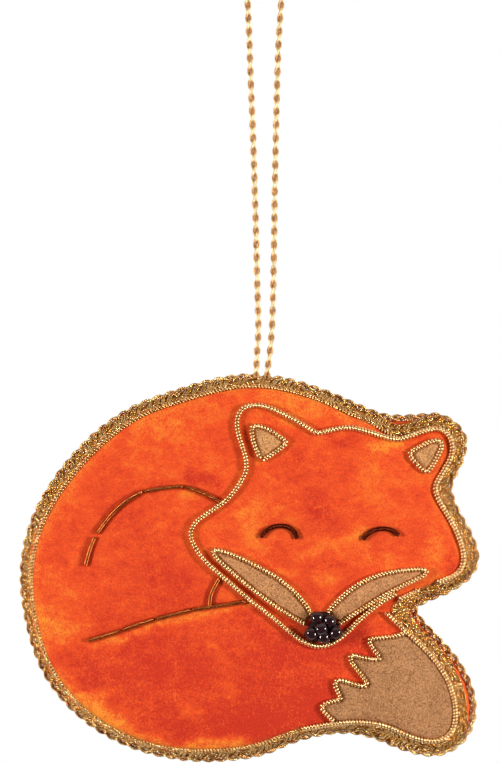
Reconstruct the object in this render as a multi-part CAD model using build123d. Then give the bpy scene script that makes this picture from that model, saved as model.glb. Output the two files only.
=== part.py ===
from build123d import *
import math
import os

# A stuffed velvet ornament: a fox curled up asleep, hung by a loop of twisted gold cord.
# X runs to the right of the fox's face, Z runs up and the embroidered front looks along -Y.
# The origin is the inside of the loop's top, where a hook or twig bears. The seam lies in Y = 0.

# Overall size
fox_width = 105.0

# Fabric, lining and stuffing
crown_height = 8.2
crown_drop = 4.0
side_height = 2.4
panel_thickness = 1.0
lining_thickness = 0.4
lining_clearance = 0.08
patch_thickness = 0.6
trim_clearance = 0.06
cut_overrun = 2.0

# Metal thread, wire and beads
wire_diameter = 1.2
purl_diameter = 0.9
eye_purl_diameter = 1.0
edge_cord_diameter = 1.4
seam_clearance = 0.08
braid_thickness = 0.8
braid_clearance = 0.12
braid_low_height = 0.95
bead_diameter = 2.5
bead_length = 1.9
bead_hole_diameter = 0.8
bead_spacing = 0.15

# Hanging loop
strand_diameter = 1.3
pivot_rise = 1.0
pivot_clearance = 0.3
channel_clearance = 0.12
buried_length = 6.5
knot_diameter = 4.6
edge_cord_end_clearance = 0.35

# Rounding: a corner's arc takes this share of its shorter run, up to the widest arc of an outline.
arc_share = 0.45
bend_share = 0.72
widest_arc = 30.0

# Route of the hanging cord's centre line, foot to foot, as X and Z.
cord_route = (
    (-1.95, -93.0),
    (-1.8, -89.3),
    (-1.4, -83.5),
    (-1.72, -74.5),
    (-2.05, -60.0),
    (-2.6, -41.5),
    (-3.3, -25.0),
    (-3.65, -13.5),
    (-4.35, -1.9),
    (-1.8, 0.65),
    (1.8, 0.65),
    (4.35, -1.9),
    (3.35, -13.5),
    (2.85, -25.5),
    (2.45, -42.0),
    (2.2, -59.0),
    (1.95, -75.0),
    (1.65, -84.0),
    (1.1, -89.5),
    (0.57, -93.0),
)

# Places read off a picture of the fox that is 458 units wide. Z runs down in the picture.
picture_width = 458.0
picture_hang_x = 264.8
picture_top_y = 375.0
picture_crown_middle = (268.0, 582.0)

# Outer edge, clockwise from between the loop's feet: X, Y and the width of the edge trim there.
# The body's gold wire keeps beside the nape and the back, and the tail's beside the tail.
nape_edge = (
    (262.0, 374.6, 13.5),
    (291.0, 379.6, 13.0),
    (326.0, 391.0, 11.0),
    (360.0, 406.0, 12.0),
)
head_and_tail_edge = (
    (383.0, 415.6, 15.0),
    (404.0, 416.6, 19.0),
    (424.0, 414.8, 18.0),
    (440.0, 413.9, 15.5),
    (454.0, 421.3, 15.0),
    (464.4, 432.5, 14.5),
    (467.0, 446.0, 14.5),
    (460.5, 466.0, 14.0),
    (452.3, 480.0, 14.5),
    (450.2, 491.5, 15.0),
    (457.5, 510.0, 12.5),
    (470.5, 532.0, 12.5),
    (477.5, 550.0, 14.5),
    (478.0, 563.5, 14.5),
    (470.5, 577.5, 14.5),
    (452.0, 590.8, 14.0),
    (430.0, 599.3, 14.0),
    (413.6, 607.5, 15.0),
    (420.5, 619.0, 15.5),
    (441.0, 640.0, 16.0),
    (459.0, 661.0, 17.5),
    (470.5, 682.0, 19.0),
    (475.8, 704.0, 20.0),
    (474.0, 724.0, 19.5),
    (463.5, 742.0, 17.0),
    (447.0, 753.3, 15.5),
    (428.0, 756.0, 15.3),
    (402.0, 749.3, 14.5),
    (376.0, 737.7, 14.0),
    (350.0, 731.3, 10.5),
    (322.0, 733.7, 10.0),
    (293.0, 741.0, 10.0),
)
back_edge = (
    (266.0, 754.0, 12.0),
    (236.0, 759.3, 11.0),
    (200.0, 761.0, 11.0),
    (162.0, 756.6, 9.5),
    (126.0, 745.6, 9.5),
    (92.0, 727.3, 9.5),
    (62.0, 700.4, 9.5),
    (41.0, 669.5, 9.5),
    (28.5, 633.0, 9.5),
    (21.3, 594.0, 10.0),
    (21.5, 556.0, 11.0),
    (30.5, 521.0, 11.5),
    (48.5, 486.0, 12.5),
    (74.0, 452.8, 13.0),
    (104.0, 424.5, 13.0),
    (138.0, 403.5, 11.5),
    (176.0, 390.6, 12.0),
    (211.0, 380.0, 14.0),
    (236.0, 375.6, 12.5),
)
outer_edge = nape_edge + head_and_tail_edge + back_edge

# Gold wire
body_wire_start = ((388.0, 430.0), (374.0, 423.6))
body_wire_end = (289.5, 732.0)
head_wire = (
    (437.0, 581.5),
    (451.0, 576.0),
    (461.0, 567.0),
    (463.6, 555.0),
    (459.5, 539.0),
    (451.0, 522.5),
    (440.0, 503.5),
    (433.6, 488.0),
    (441.0, 474.0),
    (451.0, 459.0),
    (452.5, 446.0),
    (446.5, 432.0),
    (434.0, 428.5),
    (416.0, 434.0),
    (398.5, 441.0),
    (377.0, 434.8),
    (355.0, 427.4),
    (335.0, 429.0),
    (316.0, 434.0),
    (296.0, 421.0),
    (274.0, 408.6),
    (253.0, 404.6),
    (240.5, 409.4),
    (236.2, 424.0),
    (240.5, 441.5),
    (247.8, 462.0),
    (244.0, 477.5),
    (227.0, 500.5),
    (204.0, 514.5),
    (191.6, 527.0),
    (191.4, 541.5),
    (204.0, 560.0),
    (228.0, 580.6),
    (256.0, 604.0),
    (283.0, 625.4),
    (302.0, 641.2),
    (320.0, 646.8),
    (338.0, 640.6),
    (351.0, 627.5),
    (371.8, 609.0),
    (396.0, 593.5),
)
cheek_row_wire = ((398.5, 599.6), (418.4, 589.4))
tail_wire = (
    (387.0, 613.5),
    (404.0, 629.8),
    (420.0, 643.6),
    (436.0, 660.5),
    (448.0, 680.0),
    (454.6, 702.0),
    (455.4, 721.0),
    (449.4, 735.2),
    (434.0, 741.4),
    (413.0, 737.2),
    (389.0, 724.8),
    (362.0, 720.4),
    (333.0, 722.2),
    (310.0, 726.2),
    (293.5, 730.6),
)
tail_zigzag_wire = (
    (399.0, 634.8),
    (366.5, 637.5),
    (381.5, 661.0),
    (346.5, 653.5),
    (368.0, 687.5),
    (331.0, 678.5),
    (342.5, 700.0),
    (317.0, 703.8),
    (328.5, 714.4),
)
left_ear_wire = (
    (258.0, 456.0),
    (249.8, 425.0),
    (267.0, 428.4),
    (288.0, 440.5),
    (279.0, 450.4),
    (264.6, 459.6),
)
right_ear_wire = (
    (412.6, 459.4),
    (407.0, 450.6),
    (425.0, 443.2),
    (443.5, 438.0),
    (440.0, 453.0),
    (430.5, 473.8),
    (416.8, 466.4),
)
left_cheek_wire = (
    (307.6, 607.0),
    (297.0, 593.0),
    (280.0, 578.4),
    (260.0, 566.6),
    (237.0, 555.6),
    (212.0, 548.6),
    (229.0, 569.4),
    (253.0, 589.4),
    (278.0, 607.6),
    (303.5, 622.8),
)
right_cheek_wire = (
    (332.5, 604.8),
    (345.0, 592.6),
    (364.0, 580.0),
    (386.0, 571.6),
    (408.0, 569.0),
    (427.5, 570.0),
    (408.0, 581.6),
    (386.0, 592.0),
    (362.0, 606.6),
    (340.5, 621.0),
)

# Felt pieces
left_ear_patch = ((256.4, 430.2), (267.0, 432.8), (280.2, 440.8), (274.4, 447.4), (262.0, 454.4))
right_ear_patch = ((415.0, 452.6), (427.0, 446.4), (437.0, 443.6), (434.8, 453.0), (428.8, 466.4), (421.6, 463.8))
left_cheek_patch = (
    (224.6, 556.2),
    (236.0, 559.4),
    (258.0, 569.8),
    (277.4, 581.4),
    (293.4, 595.2),
    (305.0, 610.4),
    (302.0, 617.6),
    (280.0, 604.6),
    (255.0, 586.4),
    (236.0, 570.6),
)
right_cheek_patch = (
    (337.5, 606.4),
    (348.0, 595.6),
    (366.0, 583.6),
    (387.0, 575.4),
    (408.0, 572.8),
    (413.6, 574.0),
    (405.0, 579.0),
    (383.6, 588.8),
    (360.0, 603.2),
    (341.5, 615.6),
)
tail_patch = (
    (406.5, 638.6),
    (417.4, 648.0),
    (432.6, 663.4),
    (444.2, 682.4),
    (450.6, 703.2),
    (451.2, 719.6),
    (446.4, 731.4),
    (433.6, 736.8),
    (414.4, 733.0),
    (390.4, 720.6),
    (362.6, 716.2),
    (339.0, 717.6),
    (327.5, 707.4),
    (350.5, 704.6),
    (340.5, 685.6),
    (376.0, 694.6),
    (355.0, 660.6),
    (389.6, 668.0),
    (376.8, 642.6),
)

# Cut lengths of copper purl, and the two closed eyes
haunch_purls = (
    ((86.0, 564.5), (88.4, 556.0), (91.0, 546.5), (95.0, 537.4)),
    ((101.0, 527.5), (108.5, 517.5), (119.0, 506.5), (131.6, 497.0), (140.0, 492.6)),
    ((147.0, 490.4), (163.5, 486.6), (181.0, 486.0)),
    ((188.0, 486.8), (203.0, 491.0), (216.0, 498.7)),
)
leg_purls = (
    ((89.0, 639.6), (104.0, 635.6), (118.0, 631.0)),
    ((126.0, 628.0), (139.0, 623.0), (152.0, 619.4)),
    ((159.0, 617.4), (174.0, 613.6), (187.0, 609.7)),
    ((194.0, 608.6), (219.0, 605.4), (241.0, 601.5)),
)
knee_purl = ((217.5, 581.0), (213.4, 589.0), (210.2, 599.6))
left_eye_purl = ((260.8, 536.0), (267.3, 529.5), (276.0, 525.6), (284.7, 524.8), (292.6, 528.4), (296.8, 537.0))
right_eye_purl = ((362.8, 538.2), (369.3, 532.2), (376.9, 528.2), (385.5, 528.4), (392.0, 530.4), (397.4, 533.9))

# Seed beads of the nose, in bead spacings from the nose's middle: across, up and towards the viewer
picture_nose_middle = (322.5, 628.0)
bead_place_shares = (
    (-0.45, 0.88, 0.0),
    (0.58, 0.66, 0.0),
    (0.1, -0.05, 0.88),
    (-0.95, -0.3, 0.0),
    (0.05, -0.62, 0.0),
    (1.08, -0.36, 0.0),
)

picture_scale = fox_width / picture_width
wire_radius = wire_diameter / 2
strand_radius = strand_diameter / 2
edge_cord_radius = edge_cord_diameter / 2
left_foot_x, pivot_z = cord_route[0]
right_foot_x = cord_route[-1][0]
crown_radius = ((fox_width / 2) ** 2 + crown_drop**2) / (2 * crown_drop)


def placed(spot):
    """The point of the seam plane at a picture coordinate."""
    across = (spot[0] - picture_hang_x) * picture_scale
    down = (spot[1] - picture_top_y) * picture_scale
    return Vector(across, 0, pivot_z - pivot_rise - down)


crown_middle = placed(picture_crown_middle) + Vector(0, crown_radius - crown_height, 0)


def on_crown(point, lift):
    """The point in front of one of the seam plane that lies this far outside the crown."""
    reach_squared = (crown_radius + lift) ** 2 - (point.X - crown_middle.X) ** 2 - (point.Z - crown_middle.Z) ** 2
    return Vector(point.X, crown_middle.Y - math.sqrt(reach_squared), point.Z)


def half_turn(before, corner, after):
    """Half the angle in radians by which a line turns at a corner."""
    return math.radians((corner - before).get_angle(after - corner)) / 2


def full_radius(before, corner, after):
    """The largest arc that the two runs at a corner allow."""
    shorter = min((corner - before).length, (after - corner).length)
    return arc_share * shorter / math.tan(half_turn(before, corner, after))


def corner_arc(before, corner, after, radius):
    """Start, middle and end of the arc that rounds a corner."""
    way_in = (corner - before).normalized()
    way_out = (after - corner).normalized()
    turn = half_turn(before, corner, after)
    reach = radius * math.tan(turn)
    middle = corner + (way_out - way_in).normalized() * (radius / math.cos(turn) - radius)
    return corner - way_in * reach, middle, corner + way_out * reach


def closed_radii(corners, largest):
    """The full radius at each corner of a closed outline, up to the largest."""
    count = len(corners)
    radii = [full_radius(corners[i - 1], corners[i], corners[(i + 1) % count]) for i in range(count)]
    return [min(radius, largest) for radius in radii]


def closed_wire(corners, radii):
    """A closed wire of straight runs and tangent arcs."""
    count = len(corners)
    arcs = [corner_arc(corners[i - 1], corners[i], corners[(i + 1) % count], radii[i]) for i in range(count)]
    edges = []
    for i, (start, middle, end) in enumerate(arcs):
        edges.append(Edge.make_three_point_arc(start, middle, end))
        edges.append(Edge.make_line(end, arcs[(i + 1) % count][0]))
    return Wire(edges)


def open_wire(points, largest=None):
    """An open wire of straight runs and tangent arcs, with an upper limit on its radii if one is given."""
    edges = []
    start = points[0]
    for before, corner, after in zip(points, points[1:], points[2:]):
        radius = full_radius(before, corner, after)
        if largest is not None:
            radius = min(radius, largest)
        arc_start, middle, arc_end = corner_arc(before, corner, after, radius)
        edges.append(Edge.make_line(start, arc_start))
        edges.append(Edge.make_three_point_arc(arc_start, middle, arc_end))
        start = arc_end
    edges.append(Edge.make_line(start, points[-1]))
    return Wire(edges)


def turns_inward(corners, i):
    """True where a clockwise outline is hollow at a corner."""
    way_in = corners[i] - corners[i - 1]
    way_out = corners[(i + 1) % len(corners)] - corners[i]
    return way_in.cross(way_out).Y < 0


def drawn_in(corners, distances):
    """Each corner moved inwards so that both its runs shift by about its distance."""
    moved = []
    for i, corner in enumerate(corners):
        before = corners[i - 1]
        after = corners[(i + 1) % len(corners)]
        way_in = (corner - before).normalized()
        way_out = (after - corner).normalized()
        across = (way_in + way_out).normalized()
        inward = Vector(-across.Z, 0, across.X) * -1
        moved.append(corner + inward * (distances[i] / math.cos(half_turn(before, corner, after))))
    return moved


def parallel(corners, radii, distance):
    """The same outline drawn in evenly, its arcs kept concentric."""
    moved = drawn_in(corners, [distance] * len(corners))
    kept = [
        radius + distance if turns_inward(corners, i) else radius - distance
        for i, radius in enumerate(radii)
    ]
    return moved, kept


def at_depth(corners, y):
    """The outline moved to this Y."""
    return [Vector(corner.X, y, corner.Z) for corner in corners]


def tube(wire, diameter):
    """A round bar along a wire."""
    section = Plane(origin=wire @ 0, z_dir=wire % 0) * Circle(diameter / 2)
    return sweep(section, path=wire)


def crown_shell(outline_wire, low_lift, high_lift):
    """What lies over an outline between two lifts from the crown."""
    block = extrude(Face(outline_wire), amount=crown_height + cut_overrun, dir=(0, -1, 0))
    block = block & Pos(*crown_middle) * Sphere(crown_radius + high_lift)
    return block - Pos(*crown_middle) * Sphere(crown_radius + low_lift)


silhouette = [placed(row) for row in outer_edge]
silhouette_radii = closed_radii(silhouette, widest_arc)
seam_inset = edge_cord_diameter + seam_clearance
seam_corners, seam_radii = parallel(silhouette, silhouette_radii, seam_inset)
wire_line = drawn_in(silhouette, [row[2] * picture_scale for row in outer_edge])
face_corners = drawn_in(silhouette, [row[2] * picture_scale - wire_radius for row in outer_edge])
face_radii = closed_radii(face_corners, widest_arc)


def half_body(wall_depth, crown_depth):
    """The front half of the stuffed shape, this far under its outer surface."""
    low, low_radii = parallel(seam_corners, seam_radii, wall_depth)
    high, high_radii = parallel(face_corners, face_radii, wall_depth)
    levels = [closed_wire(low, low_radii)]
    for height in (side_height, crown_height + cut_overrun):
        levels.append(closed_wire(at_depth(high, -height), high_radii))
    return Solid.make_loft(levels, ruled=True) & Pos(*crown_middle) * Sphere(crown_radius - crown_depth)


def side_ring(outward):
    """The space inside the sloping side moved outwards, from the braid's lower edge to its upper one."""
    wires = []
    for height in (braid_low_height, side_height):
        share = height / side_height
        corners = [low + (high - low) * share for low, high in zip(seam_corners, face_corners)]
        radii = [low + (high - low) * share for low, high in zip(seam_radii, face_radii)]
        moved, kept = parallel(corners, radii, -outward)
        wires.append(closed_wire(at_depth(moved, -height), kept))
    return Solid.make_loft(wires, ruled=True)


def mirrored(solid):
    return mirror(solid, about=Plane.XZ)


def foot_tools(extra):
    """The cord's buried feet and their knot, this much larger all round."""
    top = pivot_z - strand_radius - pivot_clearance
    middle_x = (left_foot_x + right_foot_x) / 2
    knot_z = top - buried_length
    knot = Pos(middle_x, 0, knot_z) * Sphere(knot_diameter / 2 + extra)
    for foot_x in (left_foot_x, right_foot_x):
        foot = Cylinder(strand_radius + extra, buried_length, align=(Align.CENTER, Align.CENTER, Align.MIN))
        knot = knot + Pos(foot_x, 0, knot_z) * foot
    return knot


def fabric_pieces():
    channel = foot_tools(channel_clearance)
    shell = half_body(0, 0) - half_body(panel_thickness, panel_thickness) - channel
    lining_depth = panel_thickness + lining_clearance
    lining_corners, lining_radii = parallel(face_corners, face_radii, lining_depth)
    lining_wire = closed_wire(at_depth(lining_corners, 0), lining_radii)
    lining = crown_shell(lining_wire, -lining_depth - lining_thickness, -lining_depth)
    filling_depth = lining_depth + lining_thickness + lining_clearance
    filling = half_body(lining_depth, filling_depth)
    filling = filling + mirrored(half_body(lining_depth, lining_depth))
    return {
        "front_panel": shell,
        "back_panel": mirrored(shell),
        "embroidery_lining": lining,
        "stuffing": filling - channel,
    }


def felt_piece(outline):
    corners = [placed(spot) for spot in outline]
    outline_wire = closed_wire(corners, closed_radii(corners, wire_diameter))
    return crown_shell(outline_wire, trim_clearance, trim_clearance + patch_thickness)


def felt_pieces():
    return {
        "left_ear_patch": felt_piece(left_ear_patch),
        "right_ear_patch": felt_piece(right_ear_patch),
        "left_cheek_patch": felt_piece(left_cheek_patch),
        "right_cheek_patch": felt_piece(right_cheek_patch),
        "tail_patch": felt_piece(tail_patch),
    }


def laid_tube(points, diameter, largest=None):
    """A wire or purl couched down in front of points of the seam plane."""
    lifted = [on_crown(point, diameter / 2 + trim_clearance) for point in points]
    return tube(open_wire(lifted, largest), diameter)


def laid_wire(route, largest=None):
    return laid_tube([placed(spot) for spot in route], wire_diameter, largest)


def laid_purl(route):
    return laid_tube([placed(spot) for spot in route], purl_diameter)


def laid_eye(route):
    return laid_tube([placed(spot) for spot in route], eye_purl_diameter)


def body_edge_wire():
    """The body's edge wire, from the ear round the back to the tail."""
    beside = wire_line[len(nape_edge) - 1 :: -1] + wire_line[: -len(back_edge) - 1 : -1]
    start = [placed(spot) for spot in body_wire_start]
    return laid_tube(start + beside + [placed(body_wire_end)], wire_diameter)


def wire_pieces():
    tight = wire_diameter * bend_share
    return {
        "body_edge_wire": body_edge_wire(),
        "head_outline_wire": laid_wire(head_wire),
        "cheek_row_wire": laid_wire(cheek_row_wire),
        "tail_outline_wire": laid_wire(tail_wire),
        "tail_zigzag_wire": laid_wire(tail_zigzag_wire, tight),
        "left_ear_wire": laid_wire(left_ear_wire, tight),
        "right_ear_wire": laid_wire(right_ear_wire, tight),
        "left_cheek_wire": laid_wire(left_cheek_wire, tight),
        "right_cheek_wire": laid_wire(right_cheek_wire, tight),
    }


def purl_pieces():
    return {
        "haunch_purls": Compound([laid_purl(route) for route in haunch_purls]),
        "leg_purls": Compound([laid_purl(route) for route in leg_purls]),
        "knee_purl": laid_purl(knee_purl),
        "left_eye_purl": laid_eye(left_eye_purl),
        "right_eye_purl": laid_eye(right_eye_purl),
    }


def nose_beads():
    """Round seed beads, bored across, on the nose."""
    half_length = bead_length / 2
    hole_radius = bead_hole_diameter / 2
    end_radius = math.sqrt((bead_diameter / 2) ** 2 - half_length**2)
    bore_ends = [Vector(-half_length, hole_radius), Vector(half_length, hole_radius)]
    rim_ends = [Vector(half_length, end_radius), Vector(-half_length, end_radius)]
    profile = Wire(
        [
            Edge.make_line(bore_ends[0], bore_ends[1]),
            Edge.make_line(bore_ends[1], rim_ends[0]),
            Edge.make_three_point_arc(rim_ends[0], Vector(0, bead_diameter / 2), rim_ends[1]),
            Edge.make_line(rim_ends[1], bore_ends[0]),
        ]
    )
    bead = revolve(Face(profile), axis=Axis.X)
    pitch = bead_diameter + bead_spacing
    beads = []
    for across, up, forward in bead_place_shares:
        spot = (
            picture_nose_middle[0] + across * pitch / picture_scale,
            picture_nose_middle[1] - up * pitch / picture_scale,
        )
        centre = on_crown(placed(spot), bead_diameter / 2 + trim_clearance + forward * pitch)
        beads.append(Pos(*centre) * bead)
    return Compound(beads)


def edge_pieces():
    """The metal braid on the front's sloping side and the twisted cord sewn round the seam."""
    outer = side_ring(braid_clearance + braid_thickness)
    inner = side_ring(braid_clearance)
    cord_line = drawn_in(silhouette, [edge_cord_radius] * len(silhouette))
    right_end = foot_side(cord_line[0], cord_line[1], right_foot_x, 1)
    left_end = foot_side(cord_line[-1], cord_line[0], left_foot_x, -1)
    return {
        "edge_braid": outer - inner,
        "edge_cord": tube(open_wire([right_end] + cord_line[1:] + [left_end]), edge_cord_diameter),
    }


def foot_side(before, after, foot_x, way):
    """The point of a run beside a foot of the loop, on the side that way names."""
    x = foot_x + way * (strand_radius + edge_cord_end_clearance)
    share = (x - before.X) / (after.X - before.X)
    return before + (after - before) * share


def loop_pieces():
    route = [Vector(x, 0, z) for x, z in cord_route]
    path = open_wire(route)
    loop = tube(path, strand_diameter)
    for foot_x in (left_foot_x, right_foot_x):
        loop = loop + Pos(foot_x, 0, pivot_z) * Sphere(strand_radius)
    radii = [full_radius(*three) for three in zip(route, route[1:], route[2:])]
    print("cord radii:", ", ".join(f"{radius:.1f}" for radius in radii))
    expected = math.pi * strand_radius**2 * path.length
    print(f"cord length {path.length:.1f}, volume {loop.volume:.1f}, section times length {expected:.1f}")
    return {"hanging_loop": loop, "loop_knot": foot_tools(0)}


pieces = fabric_pieces() | felt_pieces() | wire_pieces() | purl_pieces() | edge_pieces() | loop_pieces()
pieces["nose_beads"] = nose_beads()

os.makedirs("parts", exist_ok=True)
for name, piece in pieces.items():
    export_step(piece, f"parts/{name}.step")
    print(f"{name}: {piece.volume:.1f} cubic mm")
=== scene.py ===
import functools
import math

import bpy
import numpy as np
from bpy.props import FloatProperty, FloatVectorProperty, IntProperty, PointerProperty
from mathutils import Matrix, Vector, noise
from mathutils.bvhtree import BVHTree
from mathutils.geometry import delaunay_2d_cdt
from mathutils.kdtree import KDTree


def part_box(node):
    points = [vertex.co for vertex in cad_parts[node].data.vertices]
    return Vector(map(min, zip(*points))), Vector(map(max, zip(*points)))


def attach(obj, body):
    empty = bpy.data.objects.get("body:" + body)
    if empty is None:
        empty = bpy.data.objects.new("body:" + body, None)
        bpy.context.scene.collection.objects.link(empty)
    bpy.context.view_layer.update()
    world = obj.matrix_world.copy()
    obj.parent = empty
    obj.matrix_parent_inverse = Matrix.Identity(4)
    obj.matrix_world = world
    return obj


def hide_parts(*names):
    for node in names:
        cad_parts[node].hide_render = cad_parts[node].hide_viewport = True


bl_info = {
    "name": "Velvet fox ornament",
    "version": (1, 0, 0),
    "blender": (4, 5, 0),
    "location": "View3D > Sidebar > Fox",
    "description": "Dresses a stuffed, embroidered fox ornament in velvet, felt, gold wire and cord",
    "category": "Object",
}

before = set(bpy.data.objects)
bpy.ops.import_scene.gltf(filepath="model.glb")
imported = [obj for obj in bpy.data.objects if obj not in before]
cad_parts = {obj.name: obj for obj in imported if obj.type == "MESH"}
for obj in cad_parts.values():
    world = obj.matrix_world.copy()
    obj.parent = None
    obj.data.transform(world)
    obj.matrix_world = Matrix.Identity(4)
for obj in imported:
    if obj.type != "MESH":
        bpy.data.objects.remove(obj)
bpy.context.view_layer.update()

MM = 0.001

# Places are read off a picture of the fox that is 458 units wide. Y runs down in it.
PICTURE_UNIT = 105 * MM / 458
PICTURE_HANG_X = 264.8
PICTURE_TOP_Y = 375.0
FOX_TOP_Z = -94 * MM
PICTURE_SIZE = (500, 763)

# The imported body's own sizes
SEAM_INSET = 1.0 * MM
SIDE_HEIGHT = 2.4 * MM
CROWN_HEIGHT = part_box("back_panel")[1].y
CROWN_DROP = 4 * MM
CROWN_RADIUS = ((52.5 * MM) ** 2 + CROWN_DROP**2) / (2 * CROWN_DROP)
CROWN_MIDDLE_PIXEL = (268.0, 582.0)

# The velvet panels: the gap at the seam, how far the sloping side bulges, how wide the shoulder is, the
# rings of points on the side, as shares of its height, and on the shoulder, and the spacing of the points
# inside
SEAM_GAP = 0.02 * MM
SIDE_BULGE = 0.12 * MM
SHOULDER_WIDTH = 2.6 * MM
SIDE_SHARES = (0, 0.2, 0.45, 0.7, 0.88, 1)
SHOULDER_RINGS = (0.12 * MM, 0.35 * MM, 0.7 * MM)
VELVET_SPACING = 0.58 * MM

# The cloth that swells between the wires: how fine it is, how many times larger than life, for how long
# and how hard it is blown, how much slack it has, and how near to wire, purl and edge it is held
CLOTH_SPACING = 1.3 * MM
CLOTH_SCALE = 20
CLOTH_FRAMES = 20
CLOTH_PRESSURE = 4
CLOTH_SLACK = 0.04
WIRE_HOLDS = 1.1 * MM
PURL_HOLDS = 0.8 * MM
EDGE_HOLDS = 0.2 * MM

# The trim: the braid's width at most, how far the seam cord stands outside the outline, and half the
# width of the notch's braid
BRAID_WIDTH = 2.3 * MM
CORD_OUT = 0.5 * MM
NOTCH_HALF_WIDTH = 1.0 * MM

# The swell: how deep and wide a purl sinks in, how high and wide the slow lumps are, and how far in from
# the edge the swell is full
PURL_SINK = (0.28 * MM, 1.1 * MM)
VELVET_LUMPS = (0.22 * MM, 9 * MM)
BACK_LUMPS = (0.3 * MM, 14 * MM)
FRONT_FULL = 2.5 * MM
BACK_FULL = 4 * MM

# The gold coil: its wire and how far its middle is off the velvet, both as shares of its width, and the
# widths of the outlines and of the body's wire as shares of the common one. The body's wire lies lower
# where the trim is narrow: trim in picture units and height.
COIL_WIRE_SHARE = 0.44
COIL_HEIGHT = 0.42
OUTLINE_WIDTH = 1.06
BODY_WIRE_WIDTH = 0.8
BODY_WIRE_TRIM = (9.5, 12)
BODY_WIRE_HEIGHT = (-0.12, 0.2)

# The purl's wire and height, and how much longer the pitch of the eyes' purl is
PURL_WIRE = 0.5 * MM
PURL_HEIGHT = 0.44
EYE_PITCH_SHARE = 1.7

# Felt: spacing of its rim and its points, its rounded rim, and how far its two faces lie off the velvet
FELT_RIM_SPACING = 0.45 * MM
FELT_SPACING = 0.6 * MM
FELT_ROUNDING = 0.4 * MM
FELT_TOP = 0.08 * MM
FELT_UNDER = 0.03 * MM
FELT_INSET = 0.25 * MM

# Beads: how far the nose's skin lies in front of the crown, and the hole as a share of the width
BEAD_REST = 0.35 * MM
BEAD_HOLE_SHARE = 0.14

# The tape under the braid: half widths and depths in millimetres, round its section
TAPE_SECTION = ((-1.05, 0.45), (-0.8, 0.16), (0.8, 0.16), (1.05, 0.45))

# Triangles that fill an outline: the rows' distance and the free rim, as shares of the spacing
ROW_SHARE = 0.866
RIM_SHARE = 0.55

# Steps along lines
EDGE_STEP = 0.4 * MM
TRIM_STEP = 0.35 * MM
WIRE_STEP = 0.25 * MM
FELT_STEP = 0.3 * MM

# Route of the hanging cord's centre line, foot to foot, as X and Z in millimetres
CORD_ROUTE = (
    (-1.95, -93), (-1.8, -89.3), (-1.4, -83.5), (-1.72, -74.5), (-2.05, -60), (-2.6, -41.5), (-3.3, -25),
    (-3.65, -13.5), (-4.35, -1.9), (-1.8, 0.65), (1.8, 0.65), (4.35, -1.9), (3.35, -13.5), (2.85, -25.5),
    (2.45, -42), (2.2, -59), (1.95, -75), (1.65, -84), (1.1, -89.5), (0.57, -93),
)

# The two ends inside the seam and the knot that they are tied in, as X, Y and Z in millimetres
TIED_ROUTE = (
    (-1.95, 0, -92.7), (-1.95, 0, -94.6), (-1.95, 0, -97), (-1.9, 0, -99.2), (-0.9, -1.3, -101.2),
    (0.8, -0.6, -101.4), (1, 0.9, -99.8), (-0.6, 1.4, -99.4), (-2, 0.6, -100.6), (-1.2, -0.7, -102),
    (0.2, -1.4, -100.6), (0.5, 0, -98.6), (0.57, 0, -96.8), (0.57, 0, -94.6), (0.57, 0, -92.7),
)

# Outer edge, clockwise from between the loop's feet: X, Y and the width of the edge trim there
OUTER_EDGE = (
    (262, 374.6, 11.4), (291, 379.6, 11), (326, 391, 10.4), (360, 406, 12), (383, 415.6, 15),
    (404, 416.6, 19), (424, 414.8, 18), (440, 413.9, 15.5), (454, 421.3, 15), (464.4, 432.5, 14.5),
    (467, 446, 14.5), (460.5, 466, 14), (452.3, 480, 14.5), (450.2, 491.5, 15), (457.5, 510, 12.5),
    (470.5, 532, 12.5), (477.5, 550, 14.5), (478, 563.5, 14.5), (470.5, 577.5, 14.5), (452, 590.8, 14),
    (430, 599.3, 14), (413.6, 607.5, 15), (420.5, 619, 15.5), (441, 640, 16), (459, 661, 17.5),
    (470.5, 682, 19), (475.8, 704, 20), (474, 724, 19.5), (463.5, 742, 17), (447, 753.3, 15.5),
    (428, 756, 15.3), (402, 749.3, 14.5), (376, 737.7, 14), (350, 731.3, 10.5), (322, 733.7, 10),
    (293, 741, 10), (266, 754, 12), (236, 759.3, 11), (200, 761, 11), (162, 756.6, 9.5), (126, 745.6, 9.5),
    (92, 727.3, 9.5), (62, 700.4, 9.5), (41, 669.5, 9.5), (28.5, 633, 9.5), (21.3, 594, 10),
    (21.5, 556, 11), (30.5, 521, 11.5), (48.5, 486, 12.5), (74, 452.8, 13), (104, 424.5, 13),
    (138, 403.5, 11.5), (176, 390.6, 11.8), (211, 380, 12), (236, 375.6, 11.4),
)

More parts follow.
